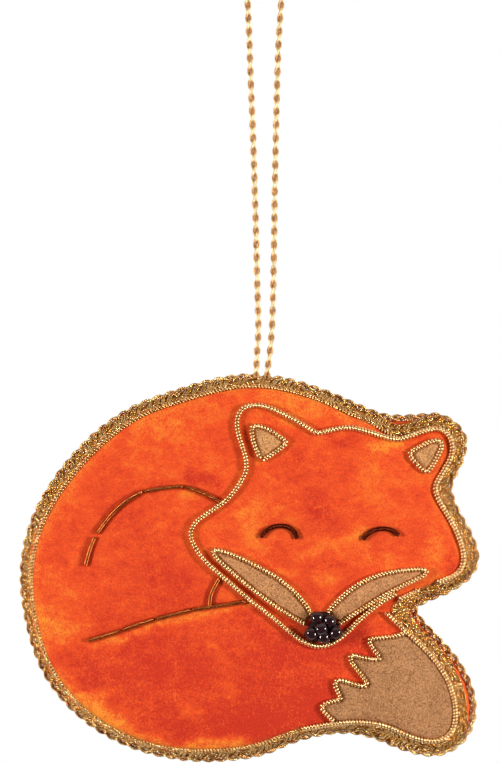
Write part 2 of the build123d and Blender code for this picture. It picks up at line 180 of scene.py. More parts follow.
# Gold wire. The body's wire keeps beside the nape and the back between its two ends.
BODY_WIRE_START = ((399, 438.5), (392, 435.5), (384, 431.5), (374, 425), (364, 419))
BODY_WIRE_END = ((297, 729.5), (305, 727.2), (314, 725.6), (320, 724.6))
OTHER_WIRES = {
    "head_outline": (
        (436, 582), (445, 578.8), (453.5, 575), (459.8, 569.6), (463.2, 561), (462.7, 551), (459.4, 540),
        (454.5, 528), (448.4, 517.2), (441, 505), (436, 495.5), (434.2, 486.5), (438, 479), (444, 468.6),
        (450.2, 458.4), (452.2, 448), (450.4, 438.2), (445.4, 431.8), (438.8, 428.8), (431, 429.2),
        (421, 432), (410.6, 436), (400.4, 439.2), (394, 439.2), (384, 436.8), (372, 432.8), (359.6, 429.2),
        (349.4, 427.2), (339, 428), (327, 430.8), (320, 432.6), (316.4, 433), (313.4, 431.2),
        (302.4, 424.2), (292, 418.4), (282, 413.3), (272, 408.4), (261.6, 405.2), (251, 405.2),
        (243.6, 407.4), (238.4, 413.6), (236.6, 423), (238, 432.4), (241, 442.4), (244.4, 452.4),
        (246.8, 462.4), (246, 471.6), (241, 481.4), (234, 491.4), (226, 500.4), (216.7, 507),
        (206.5, 513.4), (197, 520.2), (191.8, 527.2), (190.6, 534.6), (193.2, 542.8), (198, 551.4),
        (205, 560.2), (213, 567.6), (220.5, 574), (229, 581.4), (238, 589), (247, 596.8), (256, 604),
        (265, 610.6), (274, 617.8), (283, 625.4), (291.6, 632.4), (300.5, 639.2), (310, 643.8),
        (317, 645.4), (323.5, 645.2), (330, 643.2), (337, 639.4), (343.5, 634.4), (352.3, 625.6),
        (361, 617), (371.8, 608.2), (380.7, 601.4), (388.6, 596.6), (396, 592.4),
    ),
    "cheek_row": ((397.4, 599.2), (404.4, 596), (411.4, 592.4), (418.4, 588.8)),
    "tail_outline": (
        (385.4, 611.6), (395.2, 620.8), (405.6, 631.2), (416.4, 640.6), (427.2, 651.2), (438, 664),
        (446.6, 678), (452.2, 692), (455, 706.4), (455, 720.7), (451.4, 731.6), (442.4, 738.8),
        (430.7, 740.8), (416.4, 737.9), (402, 732), (388, 725.4), (373.6, 722), (359.3, 720.6),
        (345, 721.2), (330.7, 722.8), (316.4, 725), (303, 727.6),
    ),
    "tail_zigzag": (
        (404.6, 632), (400, 633.8), (392, 635.6), (383, 636.6), (374, 637.2), (369.4, 638), (368.6, 641),
        (370.8, 645.4), (374.4, 650), (377.6, 654.2), (379.4, 657.2), (376.8, 658.6), (370, 658),
        (361, 656.2), (353.6, 654), (350, 654.4), (349.8, 658), (352.6, 664), (358, 670.4), (363.4, 677),
        (366.4, 681.6), (366.2, 684.6), (362.6, 685.4), (355.6, 683.6), (348, 680.8), (340, 678.6),
        (335.4, 679.6), (334.4, 683.4), (336.6, 689.4), (339.6, 694.6), (340.6, 697.6), (338, 699.2),
        (331.4, 700), (325, 702.4), (321.4, 704.8), (321.8, 708), (325.4, 712.6), (329.4, 716.4),
        (333, 719.6),
    ),
    "left_ear": (
        (259.8, 457.6), (257.2, 452.4), (254.8, 446.2), (252.9, 440), (251.7, 433), (251.6, 427.6),
        (254, 425.2), (259, 425.9), (264.6, 427.5), (270.6, 430.4), (276, 433.5), (281.6, 437.4),
        (285.6, 440.6), (286.2, 443.2), (283.4, 445.8), (278.8, 449.6), (273.4, 453.2), (268.2, 456.6),
        (263, 459.6),
    ),
    "right_ear": (
        (415.8, 463.4), (412.2, 459.4), (409.4, 455), (409.3, 452.2), (412.4, 450.4), (418, 447),
        (423.6, 444.2), (429, 441.8), (434, 440.2), (438.8, 440.2), (441.6, 442.4), (441.6, 447),
        (439.4, 452.4), (436.2, 458.4), (433, 464.2), (429.6, 469.4), (426.8, 471.8), (423.2, 470.4),
        (419.6, 467.2), (416.8, 464.4),
    ),
    "left_cheek": (
        (311.6, 615.2), (308.8, 608.2), (303, 600.2), (296, 592.2), (287.1, 584.2), (278.2, 577.4),
        (269.3, 572), (260.4, 567.1), (251.4, 562.2), (242.5, 558), (233.6, 554.2), (224.6, 551),
        (217, 549), (212.6, 549.4), (213.6, 553.6), (217.4, 558.6), (223, 563.6), (229.6, 569.4),
        (238, 576.8), (247, 584.6), (256, 591.2), (265, 597.8), (274, 604.4), (282.7, 610.2),
        (291.6, 615.6), (299.6, 620.4), (304.4, 623),
    ),
    "right_cheek": (
        (327.4, 611.2), (329.6, 608.2), (334.3, 603), (344.6, 592.8), (355.7, 584.8), (368, 578),
        (380.7, 573.6), (395, 570.6), (409.3, 569), (419, 568.4), (425.6, 569.2), (426.6, 572.4),
        (421.6, 576), (412, 580.4), (398.6, 586.8), (384.3, 594.2), (370, 603), (355.7, 611.8),
        (346, 618.2), (338.8, 623),
    ),
}

# Second row of braid that fills the notch between the chin and the tail
NOTCH_BRAID = (
    (446, 584.5), (432, 590), (418, 595.2), (406, 600), (397, 604.6), (394.6, 611), (400, 619.4),
    (409.6, 628.6), (421, 639.6), (433, 652.4), (444, 666.6),
)

# Cut lengths of copper purl, and the two closed eyes
PURLS = {
    "haunch_coils": (
        ((86, 564.5), (88.4, 556), (91, 546.5), (95, 537.4)),
        ((98, 532), (108.5, 517.5), (119, 506.5), (131.6, 497), (142, 491.8)),
        ((146, 490.8), (163.5, 487.2), (182, 486.2)),
        ((186, 486.8), (203, 490.6), (222.5, 503)),
    ),
    "leg_coils": (
        ((89, 639.6), (104, 635.6), (120, 630.4)),
        ((124, 629), (139, 623), (154, 618.8)),
        ((158, 617.6), (174, 613.8), (190, 609.4)),
        ((193, 608.8), (219, 605.2), (245, 600.6)),
    ),
    "knee_coil": (((219, 578.4), (213.6, 587.6), (210, 596.7), (209.8, 605)),),
    "left_eye_coil": (
        ((260.8, 536), (263.8, 532.2), (268.6, 528.2), (276, 525.4), (284.7, 525), (292, 528.6),
         (295.6, 532.6), (297, 537.4)),
    ),
    "right_eye_coil": (
        ((362.6, 538.4), (365.6, 535), (370, 531.4), (376.9, 528.4), (385.5, 528), (391.4, 529.6),
         (395, 531.8), (397.6, 534.6)),
    ),
}

# Where the velvet is painted lighter or deeper, in patches: the pile's own patchy tone together with painted
# sheen and shade. Strength, half width and the places that the patch runs through
PILE_PATCHES = (
    (0.6, 18, (150, 424), (176, 424)), (0.4, 13, (212, 412)), (0.4, 14, (63, 480), (75, 503)),
    (0.5, 16, (50, 578), (66, 590)), (1.1, 16, (40, 622), (66, 634)),
    (1, 5, (96, 645), (120, 637), (158, 624), (200, 613), (248, 605)), (0.9, 18, (94, 702), (112, 716)),
    (1.1, 12, (64, 676), (90, 706), (128, 736), (164, 744)), (1.5, 9, (190, 746), (240, 744)),
    (0.8, 9, (182, 713), (196, 710)), (0.7, 9, (232, 688)), (0.5, 8, (222, 660)),
    (1, 4, (209, 643), (214, 643)), (0.6, 5, (184, 493), (196, 494)), (0.6, 13, (246, 512), (256, 507)),
    (0.5, 8, (250, 528), (254, 545)), (0.35, 8, (278, 507), (292, 504)),
    (0.45, 6, (298, 558), (330, 545), (352, 536)), (0.6, 6, (354, 538), (360, 530)),
    (0.55, 9, (320, 578), (330, 579)), (0.4, 9, (284, 566), (292, 570)),
    (0.5, 9, (366, 552), (372, 558), (390, 562)), (0.7, 11, (434, 540), (433, 556)),
    (0.45, 13, (371, 462), (370, 488)), (0.9, 7, (372, 444), (396, 444)),
    (0.5, 8, (272, 398), (292, 404), (326, 412), (345, 420)), (0.35, 10, (400, 480)),
    (0.45, 7, (214, 580), (232, 597)), (0.35, 7, (262, 418), (290, 424)), (0.3, 6, (310, 664), (330, 667)),
    (-1, 15, (252, 722), (276, 724)), (-0.8, 11, (318, 694), (316, 716)),
    (-0.7, 11, (346, 636), (362, 644)), (-0.45, 14, (280, 652), (322, 652)), (-0.8, 7, (184, 731)),
    (-0.6, 7, (143, 730)), (-0.8, 5, (188, 474), (218, 483)), (-0.6, 5, (152, 487), (168, 483)),
    (-0.5, 13, (293, 461), (298, 458)), (-0.5, 20, (318, 500), (322, 512)),
    (-0.4, 8, (330, 440), (352, 440)), (-0.5, 7, (89, 562)), (-0.35, 26, (130, 520), (176, 580)),
    (-0.4, 12, (76, 682), (94, 676)), (-0.4, 5, (308, 562), (340, 562)), (-0.4, 9, (410, 530), (420, 536)),
    (-0.6, 7, (451, 560), (453, 570)), (-0.4, 8, (236, 612), (262, 634)),
)

# Seed beads of the nose: X, Y, how far each stands off the velvet in bead diameters, and its tilt in
# degrees
NOSE_BEADS = (
    (316.6, 616.8, 0.55, 12), (329, 620, 0.57, -24), (321, 627.8, 0.85, 70), (311.4, 632.6, 0.72, -34),
    (323.4, 635.9, 0.62, 8), (335.2, 631.7, 0.72, 30),
)

# Black stitches that fill the nose under its beads: partly the thread they are sewn with, partly painted
# shade between the beads
NOSE_GROUND = (
    (311.5, 611.5), (321, 610), (331, 612.5), (336, 620), (342, 630), (339, 637), (328, 641.5),
    (316, 641.5), (304, 637), (303.5, 631), (311, 623),
)

# Metals: the colour's name, the share of it that dark places keep and the roughness. Metal thread adds its
# patches to the millimetre, its sparkle, the tone above which it is nearly white and the attribute that
# says where a highlight is painted on.
METALS = {
    "bright_gold_wire": ("gold", 0.6, 0.3),
    # A darker copy of the gold wire, for the body's wire beside the edge.
    "dull_gold_wire": ("dull_gold", 0.45, 0.3),
    "polished_copper_purl": ("copper", 0.5, 0.24),
    "dark_brown_purl": ("eye", 0.4, 0.28),
    "plaited_gold_thread": ("braid", 0.32, 0.16, 1.6, 1.0, 0.6),
    # The hanging cord's thread is painted pale where its plies cross in front: a painted highlight.
    "twisted_gold_thread": ("cord", 0.62, 0.36, 1.2, 0.6, 0.85, "crossing"),
}
WARM_DARK = (1.15, 0.85, 0.65)
# Nearly white metal for the palest tones, which on the hanging cord is a painted highlight.
PALE_METAL = (1.0, 0.95, 0.78)

# Soft boxes: place, width, height and power, and the point that they face
LAMPS = {
    "left_soft_box": ((-0.76, -0.48, -0.1), 0.16, 0.2, 6.6),
    "right_soft_box": ((0.76, -0.48, -0.1), 0.16, 0.2, 7.45),
}
LIT_POINT = (0, 0, -0.14)
FLOOR_CORNERS = ((-3, -0.3, -1), (3, -0.3, -1), (3, 3, -1), (-3, 3, -1))

# Cotton, dark and pale
COTTONS = {
    # The coils' dark core: partly their couching thread, partly painted shade in their hollow.
    "dark_thread": ((0.33, 0.19, 0.08), (0.55, 0.36, 0.17)),
    "brown_cotton": ((0.50, 0.25, 0.06), (0.80, 0.50, 0.18)),
    # Black stitches under the nose's beads: partly their thread, partly painted shade between the beads.
    "black_thread": ((0.05, 0.02, 0.02), (0.2, 0.08, 0.07)),
}


def length(name, description, millimetres):
    return FloatProperty(name=name, description=description, default=millimetres * MM, subtype="DISTANCE")


def colour(name, description, *default):
    return FloatVectorProperty(
        name=name, description=description, default=default, subtype="COLOR_GAMMA", min=0, max=1
    )


class FoxSizes(bpy.types.PropertyGroup):
    wire_diameter: length("Gold wire", "Width of the coiled gold wire", 1.38)
    wire_pitch: length("Gold wire's pitch", "Length of one turn of the gold wire", 0.745)
    purl_diameter: length("Copper purl", "Width of the cut copper purl", 1.15)
    purl_pitch: length("Purl's pitch", "Length of one turn of the copper purl", 0.18)
    eye_diameter: length("Eye purl", "Width of the purl of the closed eyes", 1.15)
    felt_thickness: length("Felt", "Thickness of the felt pieces", 0.5)
    puff: length("Puff", "How far the velvet swells between the wires", 0.75)
    velvet_thickness: length("Velvet", "Thickness of the velvet with its backing", 0.5)
    cord_diameter: length("Hanging cord", "Width of the hanging cord", 1.55)
    cord_lay: length("Hanging cord's lay", "Length of one turn of the hanging cord", 6.1)
    edge_cord_diameter: length("Edge cord", "Width of the cord round the seam", 1.85)
    edge_cord_lay: length("Edge cord's lay", "Length of one turn of the cord round the seam", 5.8)
    braid_thread: length("Braid thread", "Width of one thread of the braid", 0.29)
    braid_lay: length("Braid's lay", "Length after which the plait repeats", 5.2)
    bead_diameter: length("Bead", "Width of a seed bead", 3.15)
    camera_distance: length("Camera distance", "Distance of the camera from the seam", 2000)
    seed: IntProperty(name="Seed", description="Number that the hand-made unevenness starts from", default=5)


class FoxColours(bpy.types.PropertyGroup):
    velvet_deep: colour("Velvet, deep", "Velvet where the pile leans away", 0.79, 0.19, 0.09)
    velvet: colour("Velvet", "Main colour of the velvet", 0.91, 0.31, 0.11)
    velvet_light: colour("Velvet, light", "Velvet where the pile leans to the light", 0.97, 0.56, 0.17)
    felt: colour("Tail felt", "Felt of the tail's tip", 0.70, 0.50, 0.335)
    ear_felt: colour("Ear felt", "Felt of the ears", 0.79, 0.57, 0.365)
    cheek_felt: colour("Cheek felt", "Felt of the cheeks", 0.75, 0.53, 0.35)
    gold: colour("Gold wire", "Coiled gold wire", 1.0, 0.83, 0.59)
    # A darker copy of the gold wire, for the body's wire beside the edge.
    dull_gold: colour("Edge wire", "Coiled gold wire beside the edge", 0.98, 0.77, 0.50)
    copper: colour("Copper purl", "Cut copper purl", 0.74, 0.39, 0.19)
    eye: colour("Eye purl", "Purl of the closed eyes", 0.36, 0.13, 0.07)
    braid: colour("Braid", "Metal thread of the braid", 1.0, 0.73, 0.31)
    cord: colour("Hanging cord", "Metal thread of the hanging cord", 0.96, 0.82, 0.60)
    edge_cord: colour("Edge cord", "Metal thread of the cord round the seam", 0.90, 0.62, 0.37)
    bead: colour("Bead", "Glass of the nose's beads", 0.15, 0.05, 0.06)
    lining: colour("Lining", "Cotton under the embroidery", 0.9, 0.87, 0.8)


def fox_sizes():
    return bpy.context.scene.fox_sizes


def fox_colours():
    return bpy.context.scene.fox_colours


def linear(shown):
    """A display colour as the renderer's own numbers."""
    return tuple(c / 12.92 if c <= 0.04045 else ((c + 0.055) / 1.055) ** 2.4 for c in shown) + (1.0,)


def tinted(base, *factors):
    """A renderer's colour with each channel times its factor."""
    return tuple(min(1, c * f) for c, f in zip(base, factors)) + (1.0,)


# Node trees written as calls and sums


class Value:
    """A node's output that takes Python's own arithmetic."""

    def __init__(self, graph, socket):
        self.graph = graph
        self.socket = socket

    def maths(self, operation, *numbers):
        return self.graph.value("ShaderNodeMath", {"operation": operation}, *numbers)

    def __add__(self, other):
        return self.maths("ADD", self, other)

    def __sub__(self, other):
        return self.maths("SUBTRACT", self, other)

    def __rsub__(self, other):
        return self.maths("SUBTRACT", other, self)

    def __mul__(self, other):
        return self.maths("MULTIPLY", self, other)

    def __truediv__(self, other):
        return self.maths("DIVIDE", self, other)

    def sine(self):
        return self.maths("SINE", self)

    def cosine(self):
        return self.maths("COSINE", self)

    __radd__ = __add__
    __rmul__ = __mul__


class Graph:
    """A material's or a shape's node tree."""

    def __init__(self, tree):
        self.tree = tree
        tree.nodes.clear()

    def node(self, kind, settings=None, *inputs, **named):
        made = self.tree.nodes.new(kind)
        for name, setting in (settings or {}).items():
            if name == "stops":
                ramp = made.color_ramp.elements
                while len(ramp) < len(setting):
                    ramp.new(1)
                for element, (place, shade) in zip(ramp, setting):
                    element.position = place
                    element.color = shade
            else:
                setattr(made, name, setting)
        fed = list(zip(made.inputs, inputs))
        fed += [(made.inputs[label.replace("_", " ")], given) for label, given in named.items()]
        for socket, given in fed:
            if isinstance(given, Value):
                given = given.socket
            if isinstance(given, bpy.types.NodeSocket):
                self.tree.links.new(given, socket)
            elif given is not None:
                socket.default_value = given
        return made

    def value(self, kind, settings=None, *inputs, **named):
        made = self.node(kind, settings, *inputs, **named)
        return Value(self, next(socket for socket in made.outputs if socket.enabled))

    def output(self, kind, name, settings=None):
        """One named output of a node that takes no inputs."""
        return Value(self, self.node(kind, settings).outputs[name])

    def vector(self, operation, *inputs):
        return self.value("ShaderNodeVectorMath", {"operation": operation}, *inputs)

    def stretched(self, vector, factor):
        made = self.node("ShaderNodeVectorMath", {"operation": "SCALE"}, vector, Scale=factor)
        return Value(self, made.outputs[0])

    def multiplied(self, low, high):
        """The product of two colours."""
        made = self.tree.nodes.new("ShaderNodeMix")
        made.data_type = "RGBA"
        made.blend_type = "MULTIPLY"
        made.inputs[0].default_value = 1.0
        self.tree.links.new(low.socket, made.inputs[6])
        self.tree.links.new(high.socket, made.inputs[7])
        return Value(self, made.outputs[2])

    def millimetres(self):
        """Object coordinates in millimetres."""
        return self.stretched(self.output("ShaderNodeTexCoord", "Object"), 1 / MM)

    def attribute(self, name):
        return self.output("ShaderNodeAttribute", "Fac", {"attribute_name": name})

    def noise(self, place, scale, detail=2, roughness=0.5, distortion=0.0, stretch=None):
        """Even noise from 0 to 1 with this many patches to the millimetre."""
        if stretch:
            place = self.vector("MULTIPLY", place, stretch)
        return self.value(
            "ShaderNodeTexNoise", None, Vector=place, Scale=scale, Detail=detail, Roughness=roughness,
            Distortion=distortion,
        )

    def ramp(self, share, *stops):
        return self.value("ShaderNodeValToRGB", {"stops": stops}, share)

    def bump(self, strength, millimetres, height):
        return self.value("ShaderNodeBump", None, Strength=strength, Distance=millimetres * MM, Height=height)

    def feed(self, shader, **values):
        for name, value in values.items():
            self.tree.links.new(value.socket, shader.inputs[name.replace("_", " ")])


def new_finish(name, **constants):
    """A material with one shader, its graph and the shader."""
    material = bpy.data.materials.new(name)
    material.use_nodes = True
    graph = Graph(material.node_tree)
    shader = graph.node("ShaderNodeBsdfPrincipled", None, **constants)
    graph.node("ShaderNodeOutputMaterial", None, shader.outputs[0])
    return material, graph, shader


def found_finish(name, build, *look):
    """The material of that name, built the first time it is asked for."""
    return bpy.data.materials.get(name) or build(name, *look)


def velvet_finish(name):
    colours = fox_colours()
    material, graph, shader = new_finish(
        name, Roughness=0.8, Sheen_Weight=0.14, Sheen_Roughness=0.4, Sheen_Tint=(1.0, 0.6, 0.35, 1.0),
        Specular_IOR_Level=0.2,
    )
    place = graph.millimetres()
    broad = graph.noise(place, 0.11, 3, 0.6, 0.6)
    patches = graph.noise(place, 0.42, 4, 0.62, 0.4, stretch=(0.7, 1.0, 1.25))
    pile = graph.noise(place, 2.0, 3, 0.7, stretch=(0.8, 1.0, 1.15))
    grain = graph.noise(place, 5.0, 2, 0.7)
    tufts = graph.noise(place, 2.4, 2, 0.6, stretch=(1.3, 1.0, 0.8))
    # The attribute holds the pile's tone with painted sheen and shade, broken up by the tufts.
    pressed = graph.attribute("pressed") * (tufts * 1.3 - 0.38)
    tone = pressed + broad * 0.4 + patches * 0.5 + pile * 0.28 + grain * 0.26 - 0.37
    shade = grain * 1.1 + pile * 0.2 + 0.34
    dyed = graph.ramp(
        tone,
        (0.12, linear(colours.velvet_deep)),
        (0.38, linear(colours.velvet)),
        (0.8, linear(colours.velvet_light)),
    )
    graph.feed(
        shader,
        Base_Color=graph.multiplied(dyed, graph.value("ShaderNodeCombineColor", None, shade, shade, shade)),
        Normal=graph.bump(0.5, 0.14, grain * 0.7 + pile * 0.8),
    )
    return material


def felt_finish(name, shown):
    material, graph, shader = new_finish(
        name, Roughness=0.95, Sheen_Weight=0.05, Sheen_Roughness=0.5, Specular_IOR_Level=0.1
    )
    place = graph.millimetres()
    broad = graph.noise(place, 0.22, 3, 0.6)
    fibres = graph.noise(place, 2.4, 4, 0.8, 1.0)
    dust = graph.noise(place, 4.2, 2, 0.7)
    tone = broad * 0.3 + fibres * 1.4 + dust * 1.5 - 1.1
    base = linear(shown)
    dark, pale = tinted(base, 0.5, 0.42, 0.36), tinted(base, 1.3, 1.28, 1.25)
    graph.feed(
        shader,
        Base_Color=graph.ramp(tone, (0.34, dark), (0.5, base), (0.66, pale)),
        Normal=graph.bump(0.5, 0.1, fibres * 0.7 + dust * 0.5),
    )
    return material


def metal_finish(name, shown, dark_share, roughness, patch=0.6, sparkle=0.0, pale_above=None, painted_highlight_by=None):
    """Bright metal, darker in places, as drawn wire is, or full of small facets, as flat metal thread is.

    Above the given pale tone it is nearly white. The attribute named by the last argument is high where a
    highlight is painted on; there it lifts the tone towards pale.
    """
    material, graph, shader = new_finish(name, Metallic=1.0)
    place = graph.millimetres()
    patches = graph.noise(place, patch, 3, 0.6)
    specks = graph.noise(place, 3.6, 2, 0.65)
    base = linear(getattr(fox_colours(), shown))
    tone = patches * 0.6 + specks * 0.8 - 0.2
    stops = [(0.34, tinted(base, *(dark_share * f for f in WARM_DARK))), (0.56, base)]
    if pale_above:
        stops.append((pale_above, linear(PALE_METAL)))
    if painted_highlight_by:
        # Painted highlight: the attribute lifts the tone towards pale where it is high.
        tone = tone + graph.attribute(painted_highlight_by) * 0.55 - 0.22
    graph.feed(shader, Base_Color=graph.ramp(tone, *stops), Roughness=specks * 0.2 + (roughness - 0.1))
    if sparkle:
        graph.feed(shader, Normal=graph.bump(sparkle, 0.3, graph.noise(place, 2.6, 3, 0.7)))
    return material


def metal(name):
    return found_finish(name, metal_finish, *METALS[name])


def edge_cord_finish(name):
    material, graph, shader = new_finish(name, Metallic=1.0)
    place = graph.millimetres()
    patches = graph.noise(place, 0.5, 3, 0.65, 0.5)
    specks = graph.noise(place, 4.5, 2, 0.7)
    thread = graph.ramp(
        patches * 0.7 + specks * 1.0 - 0.36,
        (0.30, linear((0.44, 0.25, 0.16))),
        (0.46, linear(fox_colours().edge_cord)),
        (0.58, linear((1.0, 0.90, 0.62))),
    )
    graph.feed(shader, Base_Color=thread, Roughness=specks * 0.25 + 0.12, Normal=graph.bump(0.6, 0.3, specks))
    return material


def cotton_finish(name, dark, pale):
    """The cotton that wire and braid are made over. In the coils' core and under the nose's beads it also
    stands for painted shade.
    """
    material, graph, shader = new_finish(name, Roughness=0.85)
    fibres = graph.noise(graph.millimetres(), 3.0, 2, 0.6)
    graph.feed(shader, Base_Color=graph.ramp(fibres, (0.35, linear(dark)), (0.65, linear(pale))))
    return material


def cotton(name):
    return found_finish(name, cotton_finish, *COTTONS[name])


def bead_finish(name):
    material, graph, shader = new_finish(name, Base_Color=linear(fox_colours().bead), Specular_IOR_Level=0.6)
    graph.feed(shader, Roughness=graph.noise(graph.millimetres(), 1.4, 2, 0.5) * 0.06 + 0.02)
    return material


def lining_finish(name):
    material, graph, shader = new_finish(name, Roughness=0.9)
    place = graph.millimetres()
    weave = graph.noise(place, 1.0, stretch=(3.0, 1.0, 0.6))
    weave = weave + graph.noise(place, 1.0, stretch=(0.6, 1.0, 3.0))
    base = linear(fox_colours().lining)
    graph.feed(shader, Base_Color=graph.ramp(weave * 0.5, (0.35, tinted(base, 0.8, 0.8, 0.8)), (0.6, base)))
    return material


def floor_finish(name):
    return new_finish(name, Base_Color=(0.82, 0.82, 0.82, 1), Roughness=0.9)[0]


# Lines and sheets in the seam plane


def placed(rows):
    """Picture places as X and Z in the part's frame."""
    rows = np.asarray(rows, float)
    across, down = rows[:, 0] - PICTURE_HANG_X, rows[:, 1] - PICTURE_TOP_Y
    return np.column_stack([across * PICTURE_UNIT, FOX_TOP_Z - down * PICTURE_UNIT])


def raised(flat, depth):
    """Points of the seam plane at this Y."""
    return np.column_stack([flat[:, 0], np.broadcast_to(depth, len(flat)), flat[:, 1]])


def unit(rows):
    return rows / np.linalg.norm(rows, axis=1)[:, None]


def run_of(rows):
    """Length of the line through rows of points."""
    return np.linalg.norm(np.diff(rows, axis=0), axis=1).sum()


def fading(away, width, power=2):
    """1 on a line, falling to a third at this width from it."""
    return np.exp(-((away / width) ** power))


def even(points, step, closed=False):
    """The same line with points a step apart."""
    if closed:
        points = np.vstack([points, points[:1]])
    along = np.concatenate([[0], np.cumsum(np.linalg.norm(np.diff(points[:, :2], axis=0), axis=1))])
    count = max(2, round(along[-1] / step) + 1)
    at = np.linspace(0, along[-1], count)
    if closed:
        at = at[:-1]
    return np.column_stack([np.interp(at, along, column) for column in points.T])


def flowing(points, step, closed=False):
    """A smooth line led by a row of points, in even steps."""
    points = np.asarray(points, float)
    middles = (points + np.roll(points, -1, axis=0)) / 2
    if closed:
        starts, leads, ends = np.roll(middles, 1, axis=0), points, middles
    else:
        starts, leads, ends = middles[:-2].copy(), points[1:-1], middles[1:-1].copy()
        starts[0], ends[-1] = points[0], points[-1]
    share = np.linspace(0, 1, 8, endpoint=False)[None, :, None]
    rest = 1 - share
    line = rest**2 * starts[:, None] + 2 * share * rest * leads[:, None] + share**2 * ends[:, None]
    line = line.reshape(-1, points.shape[1])
    if not closed:
        line = np.vstack([line, points[-1:]])
    return even(line, step, closed)


def inward(ring):
    """Unit vectors into a clockwise ring."""
    way = unit(np.roll(ring, -1, axis=0) - np.roll(ring, 1, axis=0))
    return np.column_stack([way[:, 1], -way[:, 0]])


def clockwise(line):
    area = (line[:, 0] * np.roll(line[:, 1], -1) - np.roll(line[:, 0], -1) * line[:, 1]).sum()
    return line if area < 0 else line[::-1]


def edge_rings(step=EDGE_STEP):
    """The silhouette, the way inwards from it and the trim's width round it."""
    rows = np.column_stack([placed(OUTER_EDGE), np.array(OUTER_EDGE)[:, 2] * PICTURE_UNIT])
    line = flowing(rows, step, closed=True)
    return line[:, :2], inward(line[:, :2]), line[:, 2]


def nearest(points, line):
    """Each point's distance from a line, and the index of the line's nearest point."""
    tree = KDTree(len(line))
    for index, (x, z) in enumerate(line):
        tree.insert((x, 0, z), index)
    tree.balance()
    hits = [tree.find((x, 0, z)) for x, z in points]
    return np.array([hit[2] for hit in hits]), np.array([hit[1] for hit in hits])


def distance(points, line):
    return nearest(points, line)[0]


def filled(ring, spacing):
    """Triangles that fill a clockwise ring: all points, the ring's first, and the triangles."""
    low, high = ring.min(axis=0), ring.max(axis=0)
    rows = np.arange(low[1], high[1], spacing * ROW_SHARE)
    grid = np.array([
        (x, z)
        for number, z in enumerate(rows)
        for x in np.arange(low[0] + (number % 2) * spacing / 2, high[0], spacing)
    ])
    _, index = nearest(grid, ring)
    inside = ((grid - ring[index]) * inward(ring)[index]).sum(axis=1) > spacing * RIM_SHARE
    points = np.vstack([ring, grid[inside]])
    count = len(ring)
    edges = [(i, (i + 1) % count) for i in range(count)]
    flat, _, faces, _, _, _ = delaunay_2d_cdt([Vector(p) for p in points], edges, [], 1, 1e-7)
    return np.array([tuple(p) for p in flat]), [tuple(face) for face in faces]


def crown(flat):
    """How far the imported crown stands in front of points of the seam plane."""
    reach = ((flat - placed([CROWN_MIDDLE_PIXEL])[0]) ** 2).sum(axis=1)
    return np.sqrt(CROWN_RADIUS**2 - reach) - CROWN_RADIUS + CROWN_HEIGHT


def rounded(away, width):
    """0 at an edge, rising on a quarter circle to 1 at this width from it."""
    return np.sqrt(1 - (1 - np.clip(away / width, 0, 1)) ** 2)


def shoulder(flat, away):
    """The crown, rounded down to the side's height at the face's edge."""
    return SIDE_HEIGHT + (crown(flat) - SIDE_HEIGHT) * rounded(away, SHOULDER_WIDTH)


def lumps(flat, size, seed):
    """Slow unevenness from -1 to 1."""
    return np.array([noise.noise(Vector((x / size, seed * 7.3, z / size))) for x, z in flat])


def body_wire_line(step):
    """The body's wire: from the ear, beside the nape and the back, to the tail."""
    flat, way, trim = edge_rings(step)
    beside = flat + way * trim[:, None]
    start, end = placed(BODY_WIRE_START), placed(BODY_WIRE_END)
    first = int(np.linalg.norm(beside - start[-1], axis=1).argmin())
    last = int(np.linalg.norm(beside - end[0], axis=1).argmin())
    count = len(beside)
    skip = max(1, round(2.2 * MM / step))
    chosen = [beside[(first - k) % count] for k in range(skip, (first - last) % count - skip, skip)]
    return flowing(np.vstack([start, chosen, end]), step)


def wire_lines(step):
    lines = {"body_edge": body_wire_line(step)}
    lines.update((name, flowing(placed(route), step)) for name, route in OTHER_WIRES.items())
    return lines


def blown_velvet(ring, wires, purls):
    """The velvet as a flat cloth, held along the wires and the edge and blown out by the stuffing."""
    flat, triangles = filled(ring, CLOTH_SPACING)
    held = (
        (distance(flat, wires) < WIRE_HOLDS) | (distance(flat, purls) < PURL_HOLDS)
        | (distance(flat, ring) < EDGE_HOLDS)
    )
    carrier = bpy.data.objects.new("cloth", new_mesh("cloth", raised(flat, 0) * CLOTH_SCALE, triangles))
    scene = bpy.context.scene
    scene.collection.objects.link(carrier)
    carrier.vertex_groups.new(name="held").add([int(k) for k in np.flatnonzero(held)], 1.0, "REPLACE")
    cloth = carrier.modifiers.new("cloth", "CLOTH")
    cloth.settings.vertex_group_mass = "held"
    cloth.settings.use_pressure = True
    cloth.settings.uniform_pressure_force = CLOTH_PRESSURE
    cloth.settings.shrink_min = -CLOTH_SLACK
    cloth.settings.effector_weights.gravity = 0
    cloth.point_cache.frame_start = 1
    cloth.point_cache.frame_end = CLOTH_FRAMES
    carrier.modifiers.new("finer", "SUBSURF").levels = 1
    for number in range(1, CLOTH_FRAMES + 1):
        scene.frame_set(number)
    blown = evaluated(carrier)
    scene.frame_set(1)
    corners = [tuple(polygon.vertices) for polygon in blown.polygons]
    surface = BVHTree.FromPolygons([vertex.co for vertex in blown.vertices], corners)
    bpy.data.meshes.remove(blown)
    return surface


def swollen(flat, ring, wires, purls):
    """How far the stuffing swells the velvet between what holds it, from about 0 to 1."""
    surface = blown_velvet(ring, wires, purls)
    rise = []
    for x, z in flat * CLOTH_SCALE:
        place, _, _, _ = surface.ray_cast(Vector((x, -CLOTH_SCALE, z)), Vector((0, 1, 0)))
        rise.append(0.0 if place is None else -place.y)
    rise = np.array(rise)
    return np.clip(rise / np.percentile(rise, 98), 0, 1.15)


